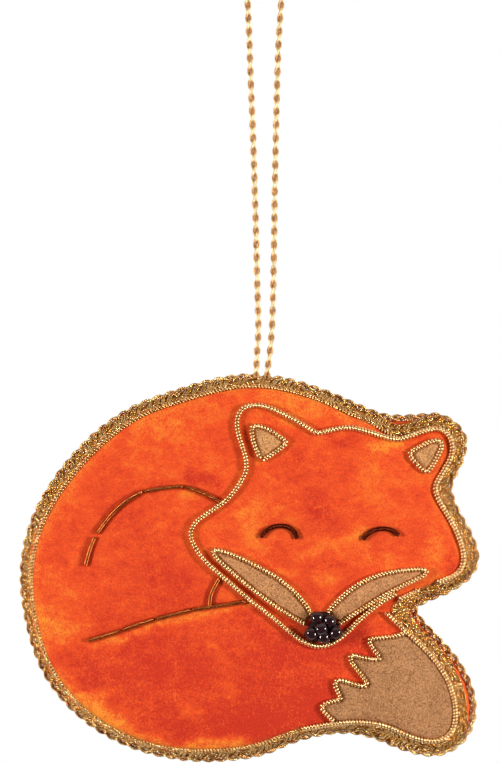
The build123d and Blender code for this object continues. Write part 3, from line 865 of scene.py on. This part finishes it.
def relief(flat, away, ring):
    """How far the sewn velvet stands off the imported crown."""
    sizes = fox_sizes()
    wires = np.vstack(list(wire_lines(0.2 * MM).values()))
    purls = np.vstack([flowing(placed(route), 0.2 * MM) for routes in PURLS.values() for route in routes])
    swell = sizes.puff * swollen(flat, ring, wires, purls)
    swell = swell - PURL_SINK[0] * fading(distance(flat, purls), PURL_SINK[1])
    swell = swell + VELVET_LUMPS[0] * lumps(flat, VELVET_LUMPS[1], sizes.seed)
    return swell * np.clip(away / FRONT_FULL, 0, 1)


def pile_tone_and_painted_light(flat, away):
    """Painted sheen and shade on the front velvet, with the pile's own patchy tone: above 0 lighter, below 0
    deeper.
    """
    warp = np.column_stack([lumps(flat, 4 * MM, 3), lumps(flat, 4 * MM, 4)]) * 1.1 * MM
    warp += np.column_stack([lumps(flat, 1.6 * MM, 5), lumps(flat, 1.6 * MM, 6)]) * 0.6 * MM
    from_wire = distance(flat, np.vstack(list(wire_lines(0.3 * MM).values())))
    # Painted sheen: lighter near the face's edge, where the velvet slopes.
    total = 0.4 * fading(away, 2.2 * MM) * (1 + lumps(flat, 5 * MM, 8))
    # Painted shade: darker towards the bottom, as if the light came from above.
    top, bottom = placed(((250, 540), (250, 720)))[:, 1]
    total -= 0.75 * np.clip((top - flat[:, 1]) / (top - bottom), 0, 1)
    # Painted sheen: lighter beside the wires, where the pile is pushed over.
    total += 0.35 * fading(from_wire, 1.5 * MM) * (1 + lumps(flat, 4 * MM, 9))
    tufts = 1 + 0.7 * lumps(flat, 1.3 * MM, 10)
    # The listed patches: the pile's patchy tone together with painted sheen and shade.
    for strength, width, *places in PILE_PATCHES:
        line = placed(places)
        if len(line) > 1:
            line = even(line, 1 * MM)
        total += strength * fading(distance(flat + warp, line), width * PICTURE_UNIT) * tufts
    return total


def panel_shape(side):
    """Points, faces and pile tone of a velvet panel, side -1 for the front and 1 for the back. The front's
    pile tone holds painted sheen and shade.
    """
    sizes = fox_sizes()
    edge, way, trim = edge_rings()
    face = trim - sizes.wire_diameter / 2
    rings = []
    for share in SIDE_SHARES:
        inset = SEAM_INSET + (face - SEAM_INSET) * share - SIDE_BULGE * math.sin(math.pi * share)
        rings.append((edge + way * inset[:, None], SEAM_GAP + SIDE_HEIGHT * share))
    face_ring = rings[-1][0]
    for away in SHOULDER_RINGS:
        ring = edge + way * (face + away)[:, None]
        rings.append((ring, shoulder(ring, away)))
    flat, triangles = filled(rings.pop()[0], VELVET_SPACING)
    away = distance(flat, face_ring)
    depth = shoulder(flat, away)
    if side < 0:
        depth = depth + relief(flat, away, face_ring)
        pile = pile_tone_and_painted_light(flat, away)
    else:
        pile = 0.4 * lumps(flat, 12 * MM, sizes.seed + 2)
        uneven = BACK_LUMPS[0] * lumps(flat, BACK_LUMPS[1], sizes.seed + 1)
        depth = depth + uneven * np.clip(away / BACK_FULL, 0, 1)
    points = [raised(ring, side * height) for ring, height in rings] + [raised(flat, side * depth)]
    count = len(edge)
    base = count * len(rings)
    faces = [
        (low + i, low + count + i, low + count + (i + 1) % count, low + (i + 1) % count)
        for low in range(0, base, count)
        for i in range(count)
    ]
    faces.extend(tuple(base + k for k in triangle) for triangle in triangles)
    if side > 0:
        faces = [tuple(reversed(f)) for f in faces]
    return np.vstack(points), faces, np.concatenate([np.full(base, 0.3), pile])


@functools.cache
def front_shape():
    return panel_shape(-1)


@functools.cache
def front_tree():
    points, faces, _ = front_shape()
    return BVHTree.FromPolygons([tuple(p) for p in points], faces)


def on_velvet(flat):
    """Where lines of sight through points of the seam plane meet the velvet, and how it faces there."""
    tree = front_tree()
    places, facing = [], []
    for x, z in flat:
        place, normal, _, _ = tree.ray_cast(Vector((x, -1, z)), Vector((0, 1, 0)))
        if place is None:
            place, normal, _, _ = tree.find_nearest(Vector((x, -2 * MM, z)))
        places.append(tuple(place))
        facing.append(tuple(normal))
    return np.array(places), np.array(facing)


def evened(values, reach):
    """A running mean over this many neighbours each side."""
    padded = np.pad(values, [(reach, reach)] + [(0, 0)] * (values.ndim - 1), mode="edge")
    window = np.ones(2 * reach + 1) / (2 * reach + 1)
    columns = padded.reshape(len(padded), -1).T
    return np.column_stack([np.convolve(column, window, "valid") for column in columns])


def evened_ring(values, reach=6):
    """A running mean round a closed row."""
    border = 2 * reach
    row = np.concatenate([values[-border:], values, values[:border]])
    return evened(row, reach)[border:-border, 0]


def laid_line(flat, lift, step):
    """A line couched on the velvet, its middle this far off it, and the way out from the velvet."""
    places, facing = on_velvet(flat)
    reach = max(1, round(0.8 * MM / step))
    facing = unit(evened(facing, reach))
    depth = places[:, 1] - lift / np.clip(-facing[:, 1], 0.62, 1)
    return raised(flat, evened(depth, reach)[:, 0]), facing


# Pieces


def new_mesh(name, points, faces):
    mesh = bpy.data.meshes.new(name)
    mesh.from_pydata([tuple(map(float, p)) for p in points], [], [tuple(int(k) for k in f) for f in faces])
    mesh.validate()
    mesh.shade_smooth()
    return mesh


def evaluated(carrier):
    """The plain mesh of an object with its modifiers. The object goes."""
    mesh = bpy.data.meshes.new_from_object(carrier.evaluated_get(bpy.context.evaluated_depsgraph_get()))
    bpy.data.objects.remove(carrier)
    return mesh


def carried(mesh):
    carrier = bpy.data.objects.new("carrier", mesh)
    bpy.context.scene.collection.objects.link(carrier)
    return carrier


def add_piece(name, mesh, finish, nodes, body="fox"):
    """Puts a finished mesh into the scene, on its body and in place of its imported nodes."""
    mesh.name = name
    if finish is not None:
        mesh.materials.clear()
        mesh.materials.append(finish)
    piece = bpy.data.objects.new(name, mesh)
    bpy.context.scene.collection.objects.link(piece)
    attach(piece, body)
    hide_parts(*nodes)
    return piece


def thickened(mesh, thickness):
    """The mesh as a closed sheet of this thickness, grown to its inner side."""
    carrier = carried(mesh)
    wall = carrier.modifiers.new("wall", "SOLIDIFY")
    wall.thickness = thickness
    wall.offset = -1
    wall.use_even_offset = False
    return evaluated(carrier)


def line_mesh(lines, closed=False):
    """Lines as a mesh of edges. Each line is its points and named vectors on them."""
    points, edges = [], []
    for line in lines:
        first, count = len(points), len(line["points"])
        points.extend(tuple(map(float, p)) for p in line["points"])
        edges.extend((first + i, first + (i + 1) % count) for i in range(count if closed else count - 1))
    mesh = bpy.data.meshes.new("lines")
    mesh.from_pydata(points, edges, [])
    for name in [name for name in lines[0] if name != "points"]:
        values = np.vstack([line[name] for line in lines]).astype(np.float32)
        mesh.attributes.new(name, "FLOAT_VECTOR", "POINT").data.foreach_set("vector", values.ravel())
    return mesh


def new_tree(name, sizes):
    """A Geometry Nodes tree fed by a line, with named sizes: its graph and its inputs."""
    tree = bpy.data.node_groups.new(name, "GeometryNodeTree")
    tree.interface.new_socket("Geometry", in_out="OUTPUT", socket_type="NodeSocketGeometry")
    tree.interface.new_socket("Line", in_out="INPUT", socket_type="NodeSocketGeometry")
    for label, size in sizes.items():
        kind = "NodeSocketInt" if isinstance(size, int) else "NodeSocketFloat"
        tree.interface.new_socket(label, in_out="INPUT", socket_type=kind).default_value = size
    for label in ("Finish", "Core"):
        tree.interface.new_socket(label, in_out="INPUT", socket_type="NodeSocketMaterial")
    graph = Graph(tree)
    given = graph.node("NodeGroupInput")
    return graph, {socket.name: Value(graph, socket) for socket in given.outputs if socket.name}


def end_tree(graph, *parts):
    """Ends a tree with its parts, each a shape and its finish."""
    both = graph.tree.nodes.new("GeometryNodeJoinGeometry")
    for geometry, finish in parts:
        whole = graph.node("GeometryNodeRealizeInstances", None, geometry)
        smooth = graph.node("GeometryNodeSetShadeSmooth", None, whole.outputs[0])
        coloured = graph.node("GeometryNodeSetMaterial", None, smooth.outputs[0], None, finish)
        graph.tree.links.new(coloured.outputs[0], both.inputs[0])
    graph.node("NodeGroupOutput", None, both.outputs[0])
    return graph.tree


def run_tree(tree, lines, finish, **sizes):
    """The plain mesh that a tree makes of lines."""
    carrier = carried(lines)
    maker = carrier.modifiers.new("maker", "NODES")
    maker.node_group = tree
    names = {item.name: item.identifier for item in tree.interface.items_tree if item.in_out == "INPUT"}
    for label, size in sizes.items():
        maker[names[label.replace("_", " ")]] = size
    maker[names["Finish"]] = finish
    # The dark core cotton also paints the shade inside the coil.
    maker[names["Core"]] = cotton("dark_thread")
    return evaluated(carrier)


# Geometry Nodes trees


def sampled(graph, line, step):
    """A line as a curve in steps, and the length so far at each point."""
    curve = graph.node("GeometryNodeMeshToCurve", None, line)
    curve = graph.node("GeometryNodeResampleCurve", {"mode": "LENGTH"}, curve.outputs[0], Length=step)
    return curve.outputs[0], graph.output("GeometryNodeSplineParameter", "Length")


def ways(graph):
    """The ways out and across at each point of a curve."""
    along = graph.value("GeometryNodeInputTangent")
    across = graph.vector("NORMALIZE", graph.vector("CROSS_PRODUCT", along, named_vector(graph, "out")))
    return graph.vector("CROSS_PRODUCT", across, along), across


def copied(graph, curve, strands, threads):
    """A curve for every thread of every strand, with the curves' numbers and their strands."""
    split = {"domain": "SPLINE"}
    copies = graph.node("GeometryNodeDuplicateElements", split, curve, None, strands * threads)
    number = Value(graph, copies.outputs["Duplicate Index"])
    share = number / threads
    return copies.outputs[0], number, share.maths("FLOOR", share + 0.001)


def named_vector(graph, name):
    return graph.value("GeometryNodeInputNamedAttribute", {"data_type": "FLOAT_VECTOR"}, name)


def shifted(graph, curve, *offsets):
    """A curve moved by a sum of vectors, each given with its length."""
    total = None
    for vector, size in offsets:
        term = graph.stretched(vector, size)
        total = term if total is None else graph.vector("ADD", total, term)
    return graph.node("GeometryNodeSetPosition", None, curve, None, None, total).outputs[0]


def circle(graph, radius, sides):
    return graph.node("GeometryNodeCurvePrimitiveCircle", None, Resolution=sides, Radius=radius).outputs[0]


def piped(graph, curve, diameter, sides):
    section = circle(graph, diameter * 0.5, sides)
    pipe = graph.node("GeometryNodeCurveToMesh", None, curve, section, Fill_Caps=True)
    return pipe.outputs[0]


@functools.cache
def coil_tree():
    """Wire wound into a close coil along a line, round a dark core that is partly its couching thread and
    partly painted shade in the coil's hollow.
    """
    graph, given = new_tree(
        "Wound wire",
        {"Width": 0.0012, "Wire": 0.0005, "Pitch": 0.00075, "Steps": 10, "Sides": 6},
    )
    line, along = sampled(graph, given["Line"], given["Pitch"] / given["Steps"])
    out, across = ways(graph)
    turn = along / given["Pitch"] * math.tau
    reach = (given["Width"] - given["Wire"]) * 0.5
    curve = shifted(graph, line, (out, turn.cosine() * reach), (across, turn.sine() * reach))
    coil = piped(graph, curve, given["Wire"], given["Sides"])
    # Dark core: partly the couching thread, partly painted shade in the coil's hollow.
    core = piped(graph, line, given["Width"] - given["Wire"] * 1.3, given["Sides"] + 2)
    return end_tree(graph, (coil, given["Finish"]), (core, given["Core"]))


@functools.cache
def twist_tree():
    """Cord of plies laid together, each of threads twisted the other way."""
    graph, given = new_tree(
        "Twisted cord",
        {"Width": 0.0013, "Lay": 0.006, "Thread lay": 0.0017, "Plies": 2, "Threads": 7, "Step": 0.00024,
         "Sides": 4},
    )
    curve, along = sampled(graph, given["Line"], given["Step"])
    curves, number, ply = copied(graph, curve, given["Plies"], given["Threads"])
    out, across = ways(graph)
    thread = number - ply * given["Threads"]
    turn = (along / given["Lay"] + ply / given["Plies"]) * math.tau
    inner_turn = (thread / given["Threads"] - along / given["Thread lay"]) * math.tau
    cosine, sine = turn.cosine(), turn.sine()
    ply_width = given["Width"] * 0.5
    thread_width = ply_width * 0.34
    reach = (ply_width - thread_width) * 0.5
    radial = (given["Width"] - ply_width) * 0.5 + inner_turn.cosine() * reach
    aside = inner_turn.sine() * reach
    # crossing is 1 where the plies lie one in front of the other; the cord's finish paints a highlight there.
    marked = graph.node(
        "GeometryNodeStoreNamedAttribute", {"data_type": "FLOAT", "domain": "POINT"}, curves, None,
        "crossing", cosine * cosine,
    )
    curve = shifted(
        graph,
        marked.outputs[0],
        (out, cosine * radial - sine * aside),
        (across, sine * radial + cosine * aside),
    )
    return end_tree(graph, (piped(graph, curve, thread_width, given["Sides"]), given["Finish"]))


@functools.cache
def plait_tree():
    """Flat braid of strands, each of threads side by side, on a line with the way across it."""
    graph, given = new_tree(
        "Flat braid",
        {"Thread": 0.0002, "Lay": 0.0046, "Height": 0.0005, "Strands": 3, "Threads": 3, "Step": 0.00024,
         "Sides": 5, "Unevenness": 0.0005},
    )
    curve, along = sampled(graph, given["Line"], given["Step"])
    curves, number, strand = copied(graph, curve, given["Strands"], given["Threads"])
    thread = number / given["Threads"] - strand
    place = graph.value("GeometryNodeInputPosition")
    drift = graph.noise(place, 160.0) * 2.2
    turn = (along / given["Lay"] + strand / given["Strands"] + thread * 0.24 + drift) * math.tau
    rise = (turn * 2).sine() * given["Height"] * 0.5
    apart = graph.value("ShaderNodeCombineXYZ", None, number * 0.37, number * 0.11, 0.0)
    shift = graph.vector("ADD", place, apart)
    wander = graph.noise(shift, 520.0) - 0.5
    curve = shifted(
        graph,
        curves,
        (named_vector(graph, "across"), turn.sine() * 0.92 + wander * 0.7),
        (named_vector(graph, "out"), rise + wander * given["Unevenness"]),
    )
    return end_tree(graph, (piped(graph, curve, given["Thread"], given["Sides"]), given["Finish"]))


@functools.cache
def bead_tree():
    """Round beads on the points of a line, each turned as its own vector says."""
    graph, given = new_tree("Seed beads", {"Width": 0.0026, "Hole": 0.0009})
    ring = circle(graph, (given["Width"] + given["Hole"]) * 0.25, 48)
    section = circle(graph, (given["Width"] - given["Hole"]) * 0.25, 28)
    bead = graph.node("GeometryNodeCurveToMesh", None, ring, section)
    longer = graph.node("GeometryNodeTransform", None, bead.outputs[0], Scale=(1.0, 1.0, 1.9))
    turned = graph.value("FunctionNodeEulerToRotation", None, named_vector(graph, "turned"))
    copies = graph.node(
        "GeometryNodeInstanceOnPoints", None, given["Line"], Instance=longer.outputs[0], Rotation=turned
    )
    return end_tree(graph, (copies.outputs[0], given["Finish"]))


# Cords, bands and felt


def route_points(route):
    """Points along the smooth spline that a route's points control."""
    curve = bpy.data.curves.new("route", "CURVE")
    curve.dimensions = "3D"
    curve.resolution_u = 24
    spline = curve.splines.new("NURBS")
    spline.points.add(len(route) - 1)
    for point, place in zip(spline.points, route):
        point.co = (*place, 1)
    spline.order_u = 3
    spline.use_endpoint_u = True
    carrier = bpy.data.objects.new("route", curve)
    mesh = bpy.data.meshes.new_from_object(carrier)
    points = np.array([v.co for v in mesh.vertices], float)
    bpy.data.meshes.remove(mesh)
    bpy.data.objects.remove(carrier)
    return points


def twisted(path, width, lay, finish, closed=False):
    """Twisted cord along a path."""
    lines = line_mesh([{"points": path, "out": np.tile((0.0, -1.0, 0.0), (len(path), 1))}], closed)
    return run_tree(twist_tree(), lines, finish, Width=width, Lay=lay)


def tube_faces(count, rows, closed):
    """Faces of a tube with this many points in each of its rows, ringed or with two closed ends."""
    faces = [
        (row * count + i, row * count + (i + 1) % count, (row + 1) % rows * count + (i + 1) % count,
         (row + 1) % rows * count + i)
        for row in range(rows)
        for i in range(count if closed else count - 1)
    ]
    if not closed:
        faces.append(tuple(row * count for row in reversed(range(rows))))
        faces.append(tuple(row * count + count - 1 for row in range(rows)))
    return faces


def braid_band(high, low, closed):
    """A band between two rows of places on the velvet: its middle and the ways across it and out of it."""
    across = (low - high) / 2
    middle = (low + high) / 2
    if closed:
        along = np.roll(middle, -1, axis=0) - np.roll(middle, 1, axis=0)
    else:
        along = np.gradient(middle, axis=0)
    out = unit(np.cross(across, along))
    room = np.linalg.norm(across[:, [0, 2]], axis=1) / (0.5 * MM) - 0.7
    out *= -np.sign(out[:, 1])[:, None] * np.clip(room, 0.2, 1)[:, None]
    return {"points": middle + out * 0.42 * MM, "across": across, "out": out}


def felt_shape(outline, thickness):
    """Points and faces of a felt piece that lies on the velvet inside a clockwise outline."""
    ring = even(outline, FELT_RIM_SPACING, closed=True)
    flat, triangles = filled(ring, FELT_SPACING)
    places, _ = on_velvet(flat)
    top, low = places.copy(), places.copy()
    top[:, 1] -= thickness * rounded(distance(flat, ring), FELT_ROUNDING) + FELT_TOP
    low[:, 1] -= FELT_UNDER
    count, border = len(flat), len(ring)
    faces = list(triangles) + [tuple(count + k for k in reversed(t)) for t in triangles]
    faces += [(count + i, i, (i + 1) % border, count + (i + 1) % border) for i in range(border)]
    return np.vstack([top, low]), faces


def felt_outlines():
    """The felt pieces' outlines, under the wires that cover their edges."""
    lines = wire_lines(FELT_STEP)
    tail, zigzag = lines["tail_outline"], lines["tail_zigzag"]
    first = int(np.linalg.norm(tail - zigzag[0], axis=1).argmin())
    last = int(np.linalg.norm(tail - zigzag[-1], axis=1).argmin())
    outlines = {name: lines[name] for name in ("left_ear", "right_ear", "left_cheek", "right_cheek")}
    outlines["tail"] = np.vstack([tail[first + 1 : last], zigzag[::-1]])
    drawn = {}
    for name, line in outlines.items():
        ring = clockwise(even(line, FELT_STEP, closed=True))
        drawn[name] = ring + inward(ring) * FELT_INSET
    return drawn


def coiled(lines, width, wire, pitch, finish, height, sides=6, steps=10):
    """Coiled wire couched along lines, its middle this share of its width off the velvet."""
    laid = []
    for line in lines:
        points, out = laid_line(line, width * height, WIRE_STEP)
        laid.append({"points": points, "out": out})
    return run_tree(
        coil_tree(), line_mesh(laid), finish, Width=width, Wire=wire, Pitch=pitch, Sides=sides, Steps=steps
    )


def braid_bands():
    """The band of braid round the sloping edge and the one in the notch, and whether each is closed."""
    sizes = fox_sizes()
    edge, way, _ = edge_rings(TRIM_STEP)
    lines = wire_lines(0.3 * MM)
    beside = [lines[name] for name in ("body_edge", "head_outline", "tail_outline", "cheek_row")]
    reach = evened_ring(distance(edge, np.vstack(beside)))
    covered = evened_ring(np.where(distance(edge, lines["body_edge"]) < reach + 0.4 * MM, -0.25, 0.1))
    high = reach - covered * sizes.wire_diameter
    low = np.maximum(high - BRAID_WIDTH, 0.85 * sizes.edge_cord_diameter - CORD_OUT)
    high = np.maximum(high, low + 0.2 * MM)
    high_places, _ = on_velvet(edge + way * high[:, None])
    low_places, _ = on_velvet(edge + way * low[:, None])
    row = flowing(placed(NOTCH_BRAID), TRIM_STEP)
    along = unit(np.gradient(row, axis=0))
    side = np.column_stack([along[:, 1], -along[:, 0]]) * NOTCH_HALF_WIDTH
    return (
        ("plaited_braid", braid_band(high_places, low_places, closed=True), True),
        ("notch_braid", braid_band(on_velvet(row + side)[0], on_velvet(row - side)[0], closed=False), False),
    )


def seam_cord_path():
    """The seam cord's middle line. It goes behind the hanging loop's feet."""
    edge, way, _ = edge_rings(TRIM_STEP)
    flat = edge + way * (fox_sizes().edge_cord_diameter / 2 - CORD_OUT)
    feet = (CORD_ROUTE[0][0] + CORD_ROUTE[-1][0]) / 2 * MM
    top = flat[:, 1] > FOX_TOP_Z - 3 * MM
    behind = np.where(top, fading(flat[:, 0] - feet, 2.8 * MM, 4), 0)
    path = raised(flat, behind * 1.35 * MM)
    path[:, 2] -= behind * 0.25 * MM
    return path


# Operators


class FOX_OT_hanging_loop(bpy.types.Operator):
    """Makes the loop of twisted gold cord and its tied ends inside the seam"""

    bl_idname = "fox.hanging_loop"
    bl_label = "Hanging loop"

    def execute(self, context):
        sizes = context.scene.fox_sizes
        finish = metal("twisted_gold_thread")
        route = [(x * MM, 0.0, z * MM) for x, z in CORD_ROUTE]
        path = route_points(route)
        mesh = twisted(path, sizes.cord_diameter, sizes.cord_lay, finish)
        loop = add_piece("gold_loop", mesh, None, ["hanging_loop"], body="loop")
        tied = route_points([tuple(c * MM for c in point) for point in TIED_ROUTE])
        mesh = twisted(tied, sizes.cord_diameter, sizes.cord_lay, finish)
        add_piece("tied_ends", mesh, None, ["loop_knot"])
        return {"FINISHED"}


class FOX_OT_velvet_panels(bpy.types.Operator):
    """Makes the padded front and back panels of orange velvet"""

    bl_idname = "fox.velvet_panels"
    bl_label = "Velvet panels"

    def execute(self, context):
        sizes = context.scene.fox_sizes
        finish = found_finish("orange_velvet", velvet_finish)
        for side, shape in (("front", front_shape()), ("back", panel_shape(1))):
            points, faces, pile = shape
            sheet = new_mesh(side, points, faces)
            # The pile's tone, with painted sheen and shade on the front.
            pressed = sheet.attributes.new("pressed", "FLOAT", "POINT")
            pressed.data.foreach_set("value", pile.astype(np.float32))
            mesh = thickened(sheet, sizes.velvet_thickness)
            panel = add_piece(f"{side}_velvet", mesh, finish, [f"{side}_panel"])
        return {"FINISHED"}


class FOX_OT_felt_pieces(bpy.types.Operator):
    """Makes the felt of the ears, the cheeks and the tail's tip"""

    bl_idname = "fox.felt_pieces"
    bl_label = "Felt pieces"

    def execute(self, context):
        sizes = context.scene.fox_sizes
        colours = fox_colours()
        shades = {"ear": colours.ear_felt, "cheek": colours.cheek_felt, "tail": colours.felt}
        for name, outline in felt_outlines().items():
            mesh = new_mesh(name, *felt_shape(outline, sizes.felt_thickness))
            part = name.split("_")[-1]
            finish = found_finish(f"{part}_felt_cloth", felt_finish, shades[part])
            add_piece(f"{name}_felt", mesh, finish, [f"{name}_patch"])
        return {"FINISHED"}


class FOX_OT_gold_wires(bpy.types.Operator):
    """Makes the coiled gold wires couched round every part of the fox"""

    bl_idname = "fox.gold_wires"
    bl_label = "Gold wires"

    def execute(self, context):
        sizes = context.scene.fox_sizes
        for name, line in wire_lines(WIRE_STEP).items():
            width, height, finish = sizes.wire_diameter, COIL_HEIGHT, metal("bright_gold_wire")
            if name in ("head_outline", "tail_outline"):
                width *= OUTLINE_WIDTH
            if name == "body_edge":
                edge, _, trim = edge_rings()
                _, index = nearest(line, edge)
                width, finish = width * BODY_WIRE_WIDTH, metal("dull_gold_wire")
                height = np.interp(trim[index] / PICTURE_UNIT, BODY_WIRE_TRIM, BODY_WIRE_HEIGHT)
            mesh = coiled([line], width, width * COIL_WIRE_SHARE, sizes.wire_pitch, finish, height)
            add_piece(f"{name}_coil", mesh, None, [f"{name}_wire"])
        return {"FINISHED"}


class FOX_OT_copper_purls(bpy.types.Operator):
    """Makes the cut lengths of copper purl and the two closed eyes"""

    bl_idname = "fox.copper_purls"
    bl_label = "Copper purls"

    def execute(self, context):
        sizes = context.scene.fox_sizes
        for name, routes in PURLS.items():
            slot, finish = "copper_purl", "polished_copper_purl"
            width, pitch = sizes.purl_diameter, sizes.purl_pitch
            if "eye" in name:
                slot, finish = "eye_purl", "dark_brown_purl"
                width, pitch = sizes.eye_diameter, pitch * EYE_PITCH_SHARE
            lines = [flowing(placed(route), WIRE_STEP) for route in routes]
            mesh = coiled(lines, width, PURL_WIRE, pitch, metal(finish), PURL_HEIGHT, sides=7, steps=9)
            add_piece(name, mesh, None, [name.replace("coil", "purl")])
        return {"FINISHED"}


class FOX_OT_nose_beads(bpy.types.Operator):
    """Makes the black seed beads of the nose and the black stitches under them, which also paint shade
    between the beads
    """

    bl_idname = "fox.nose_beads"
    bl_label = "Nose beads"

    def execute(self, context):
        sizes = context.scene.fox_sizes
        bead = sizes.bead_diameter
        points, turned = [], []
        for (x, z), (_, _, off, tilt) in zip(placed(NOSE_BEADS), NOSE_BEADS):
            points.append((x, -crown(np.array([(x, z)]))[0] - BEAD_REST - off * bead, z))
            turned.append((0.0, math.radians(tilt), 0.0))
        lines = line_mesh([{"points": points, "turned": turned}])
        glass = found_finish("polished_black_glass", bead_finish)
        mesh = run_tree(bead_tree(), lines, glass, Width=bead, Hole=bead * BEAD_HOLE_SHARE)
        add_piece("nose_seed_beads", mesh, None, ["nose_beads"])
        # The black stitches are partly the beads' thread and partly painted shade between them.
        ground = clockwise(flowing(placed(NOSE_GROUND), 0.4 * MM, closed=True))
        mesh = new_mesh("ground", *felt_shape(ground, 0.3 * MM))
        add_piece("nose_stitches", mesh, cotton("black_thread"), ["nose_beads"])
        return {"FINISHED"}


class FOX_OT_edge_trim(bpy.types.Operator):
    """Makes the flat metal braid on the sloping edge and the twisted cord round the seam"""

    bl_idname = "fox.edge_trim"
    bl_label = "Edge trim"

    def execute(self, context):
        sizes = context.scene.fox_sizes
        for name, band, closed in braid_bands():
            run = run_of(band["points"])
            lay = run / round(run / sizes.braid_lay)
            lines = line_mesh([band], closed)
            finish = metal("plaited_gold_thread")
            mesh = run_tree(plait_tree(), lines, finish, Thread=sizes.braid_thread, Lay=lay)
            add_piece(name, mesh, None, ["edge_braid"])
            rows = [band["points"] + band["across"] * s - band["out"] * r * MM for s, r in TAPE_SECTION]
            mesh = new_mesh("tape", np.vstack(rows), tube_faces(len(rows[0]), 4, closed))
            add_piece(f"{name}_tape", mesh, cotton("brown_cotton"), ["edge_braid"])
        path = seam_cord_path()
        run = run_of(np.vstack([path, path[:1]]))
        lay = run / round(run / sizes.edge_cord_lay)
        finish = found_finish("worn_gold_thread", edge_cord_finish)
        mesh = twisted(path, sizes.edge_cord_diameter, lay, finish, closed=True)
        add_piece("seam_cord", mesh, None, ["edge_cord"])
        return {"FINISHED"}


class FOX_OT_inside(bpy.types.Operator):
    """Gives the lining and the stuffing inside the fox their finish"""

    bl_idname = "fox.inside"
    bl_label = "Inside"

    def execute(self, context):
        finish = found_finish("cotton_and_fibre", lining_finish)
        for name in ("embroidery_lining", "stuffing"):
            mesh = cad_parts[name].data
            mesh.materials.clear()
            mesh.materials.append(finish)
        return {"FINISHED"}


class FOX_OT_stage(bpy.types.Operator):
    """Makes the white backdrop, the floor, the two soft boxes and the camera"""

    bl_idname = "fox.stage"
    bl_label = "Stage"

    def execute(self, context):
        sizes = context.scene.fox_sizes
        scene = bpy.context.scene
        mesh = new_mesh("floor", FLOOR_CORNERS, [(0, 1, 2, 3)])
        mesh.materials.append(floor_finish("pale_floor"))
        floor = bpy.data.objects.new("floor", mesh)
        scene.collection.objects.link(floor)
        for name, (place, width, height, power) in LAMPS.items():
            lamp = bpy.data.lights.new(name, "AREA")
            lamp.shape = "RECTANGLE"
            lamp.size = width
            lamp.size_y = height
            lamp.energy = power
            box = bpy.data.objects.new(name, lamp)
            box.location = place
            box.rotation_euler = (Vector(LIT_POINT) - Vector(place)).to_track_quat("-Z", "Y").to_euler()
            scene.collection.objects.link(box)
        scene.world = studio_world("studio")
        lens = bpy.data.cameras.new("camera")
        lens.sensor_width = 36
        lens.lens = lens.sensor_width * sizes.camera_distance / (PICTURE_SIZE[1] * PICTURE_UNIT)
        lens.clip_start = 0.01
        lens.clip_end = 50
        x, z = placed([(PICTURE_SIZE[0] / 2, PICTURE_SIZE[1] / 2)])[0]
        camera = bpy.data.objects.new("camera", lens)
        camera.location = (x, -sizes.camera_distance, z)
        camera.rotation_euler = (math.pi / 2, 0, 0)
        scene.collection.objects.link(camera)
        scene.camera = camera
        scene.view_settings.view_transform = "Standard"
        return {"FINISHED"}


def studio_world(name):
    """White where the camera looks and behind the fox, where metal shows it too, and dim in front."""
    world = bpy.data.worlds.new(name)
    world.use_nodes = True
    graph = Graph(world.node_tree)
    paths = graph.node("ShaderNodeLightPath")
    seen = Value(graph, paths.outputs["Is Camera Ray"])
    seen = seen.maths("MAXIMUM", seen, Value(graph, paths.outputs["Is Transmission Ray"]))
    way = graph.node("ShaderNodeSeparateXYZ", None, graph.output("ShaderNodeTexCoord", "Object"))
    level = graph.value("ShaderNodeMapRange", None, Value(graph, way.outputs["Y"]), -0.4, 0.3, 0.12, 1.0)
    above = graph.value("ShaderNodeMapRange", None, Value(graph, way.outputs["Z"]), 0.45, 0.8, 0.0, 0.8)
    strength = seen + (1 - seen) * level.maths("MAXIMUM", level, above)
    light = graph.node("ShaderNodeBackground", None, (1, 1, 1, 1), strength)
    graph.node("ShaderNodeOutputWorld", None, light.outputs[0])
    return world


class FOX_PT_panel(bpy.types.Panel):
    """Lists the fox's pieces, sizes and colours"""

    bl_idname = "FOX_PT_panel"
    bl_label = "Velvet fox"
    bl_space_type = "VIEW_3D"
    bl_region_type = "UI"
    bl_category = "Fox"

    def draw(self, context):
        for piece in OPERATORS:
            self.layout.operator(piece.bl_idname)
        for group in (context.scene.fox_sizes, context.scene.fox_colours):
            for name in group.__annotations__:
                self.layout.prop(group, name)


OPERATORS = (
    FOX_OT_hanging_loop,
    FOX_OT_velvet_panels,
    FOX_OT_felt_pieces,
    FOX_OT_gold_wires,
    FOX_OT_copper_purls,
    FOX_OT_nose_beads,
    FOX_OT_edge_trim,
    FOX_OT_inside,
    FOX_OT_stage,
)
CLASSES = (FoxSizes, FoxColours, *OPERATORS, FOX_PT_panel)


def register():
    for kind in CLASSES:
        bpy.utils.register_class(kind)
    bpy.types.Scene.fox_sizes = PointerProperty(type=FoxSizes)
    bpy.types.Scene.fox_colours = PointerProperty(type=FoxColours)


def unregister():
    del bpy.types.Scene.fox_colours
    del bpy.types.Scene.fox_sizes
    for kind in reversed(CLASSES):
        bpy.utils.unregister_class(kind)


def main():
    register()
    bpy.ops.fox.hanging_loop()
    bpy.ops.fox.velvet_panels()
    bpy.ops.fox.felt_pieces()
    bpy.ops.fox.gold_wires()
    bpy.ops.fox.copper_purls()
    bpy.ops.fox.nose_beads()
    bpy.ops.fox.edge_trim()
    bpy.ops.fox.inside()
    bpy.ops.fox.stage()


if __name__ == "__main__":
    main()
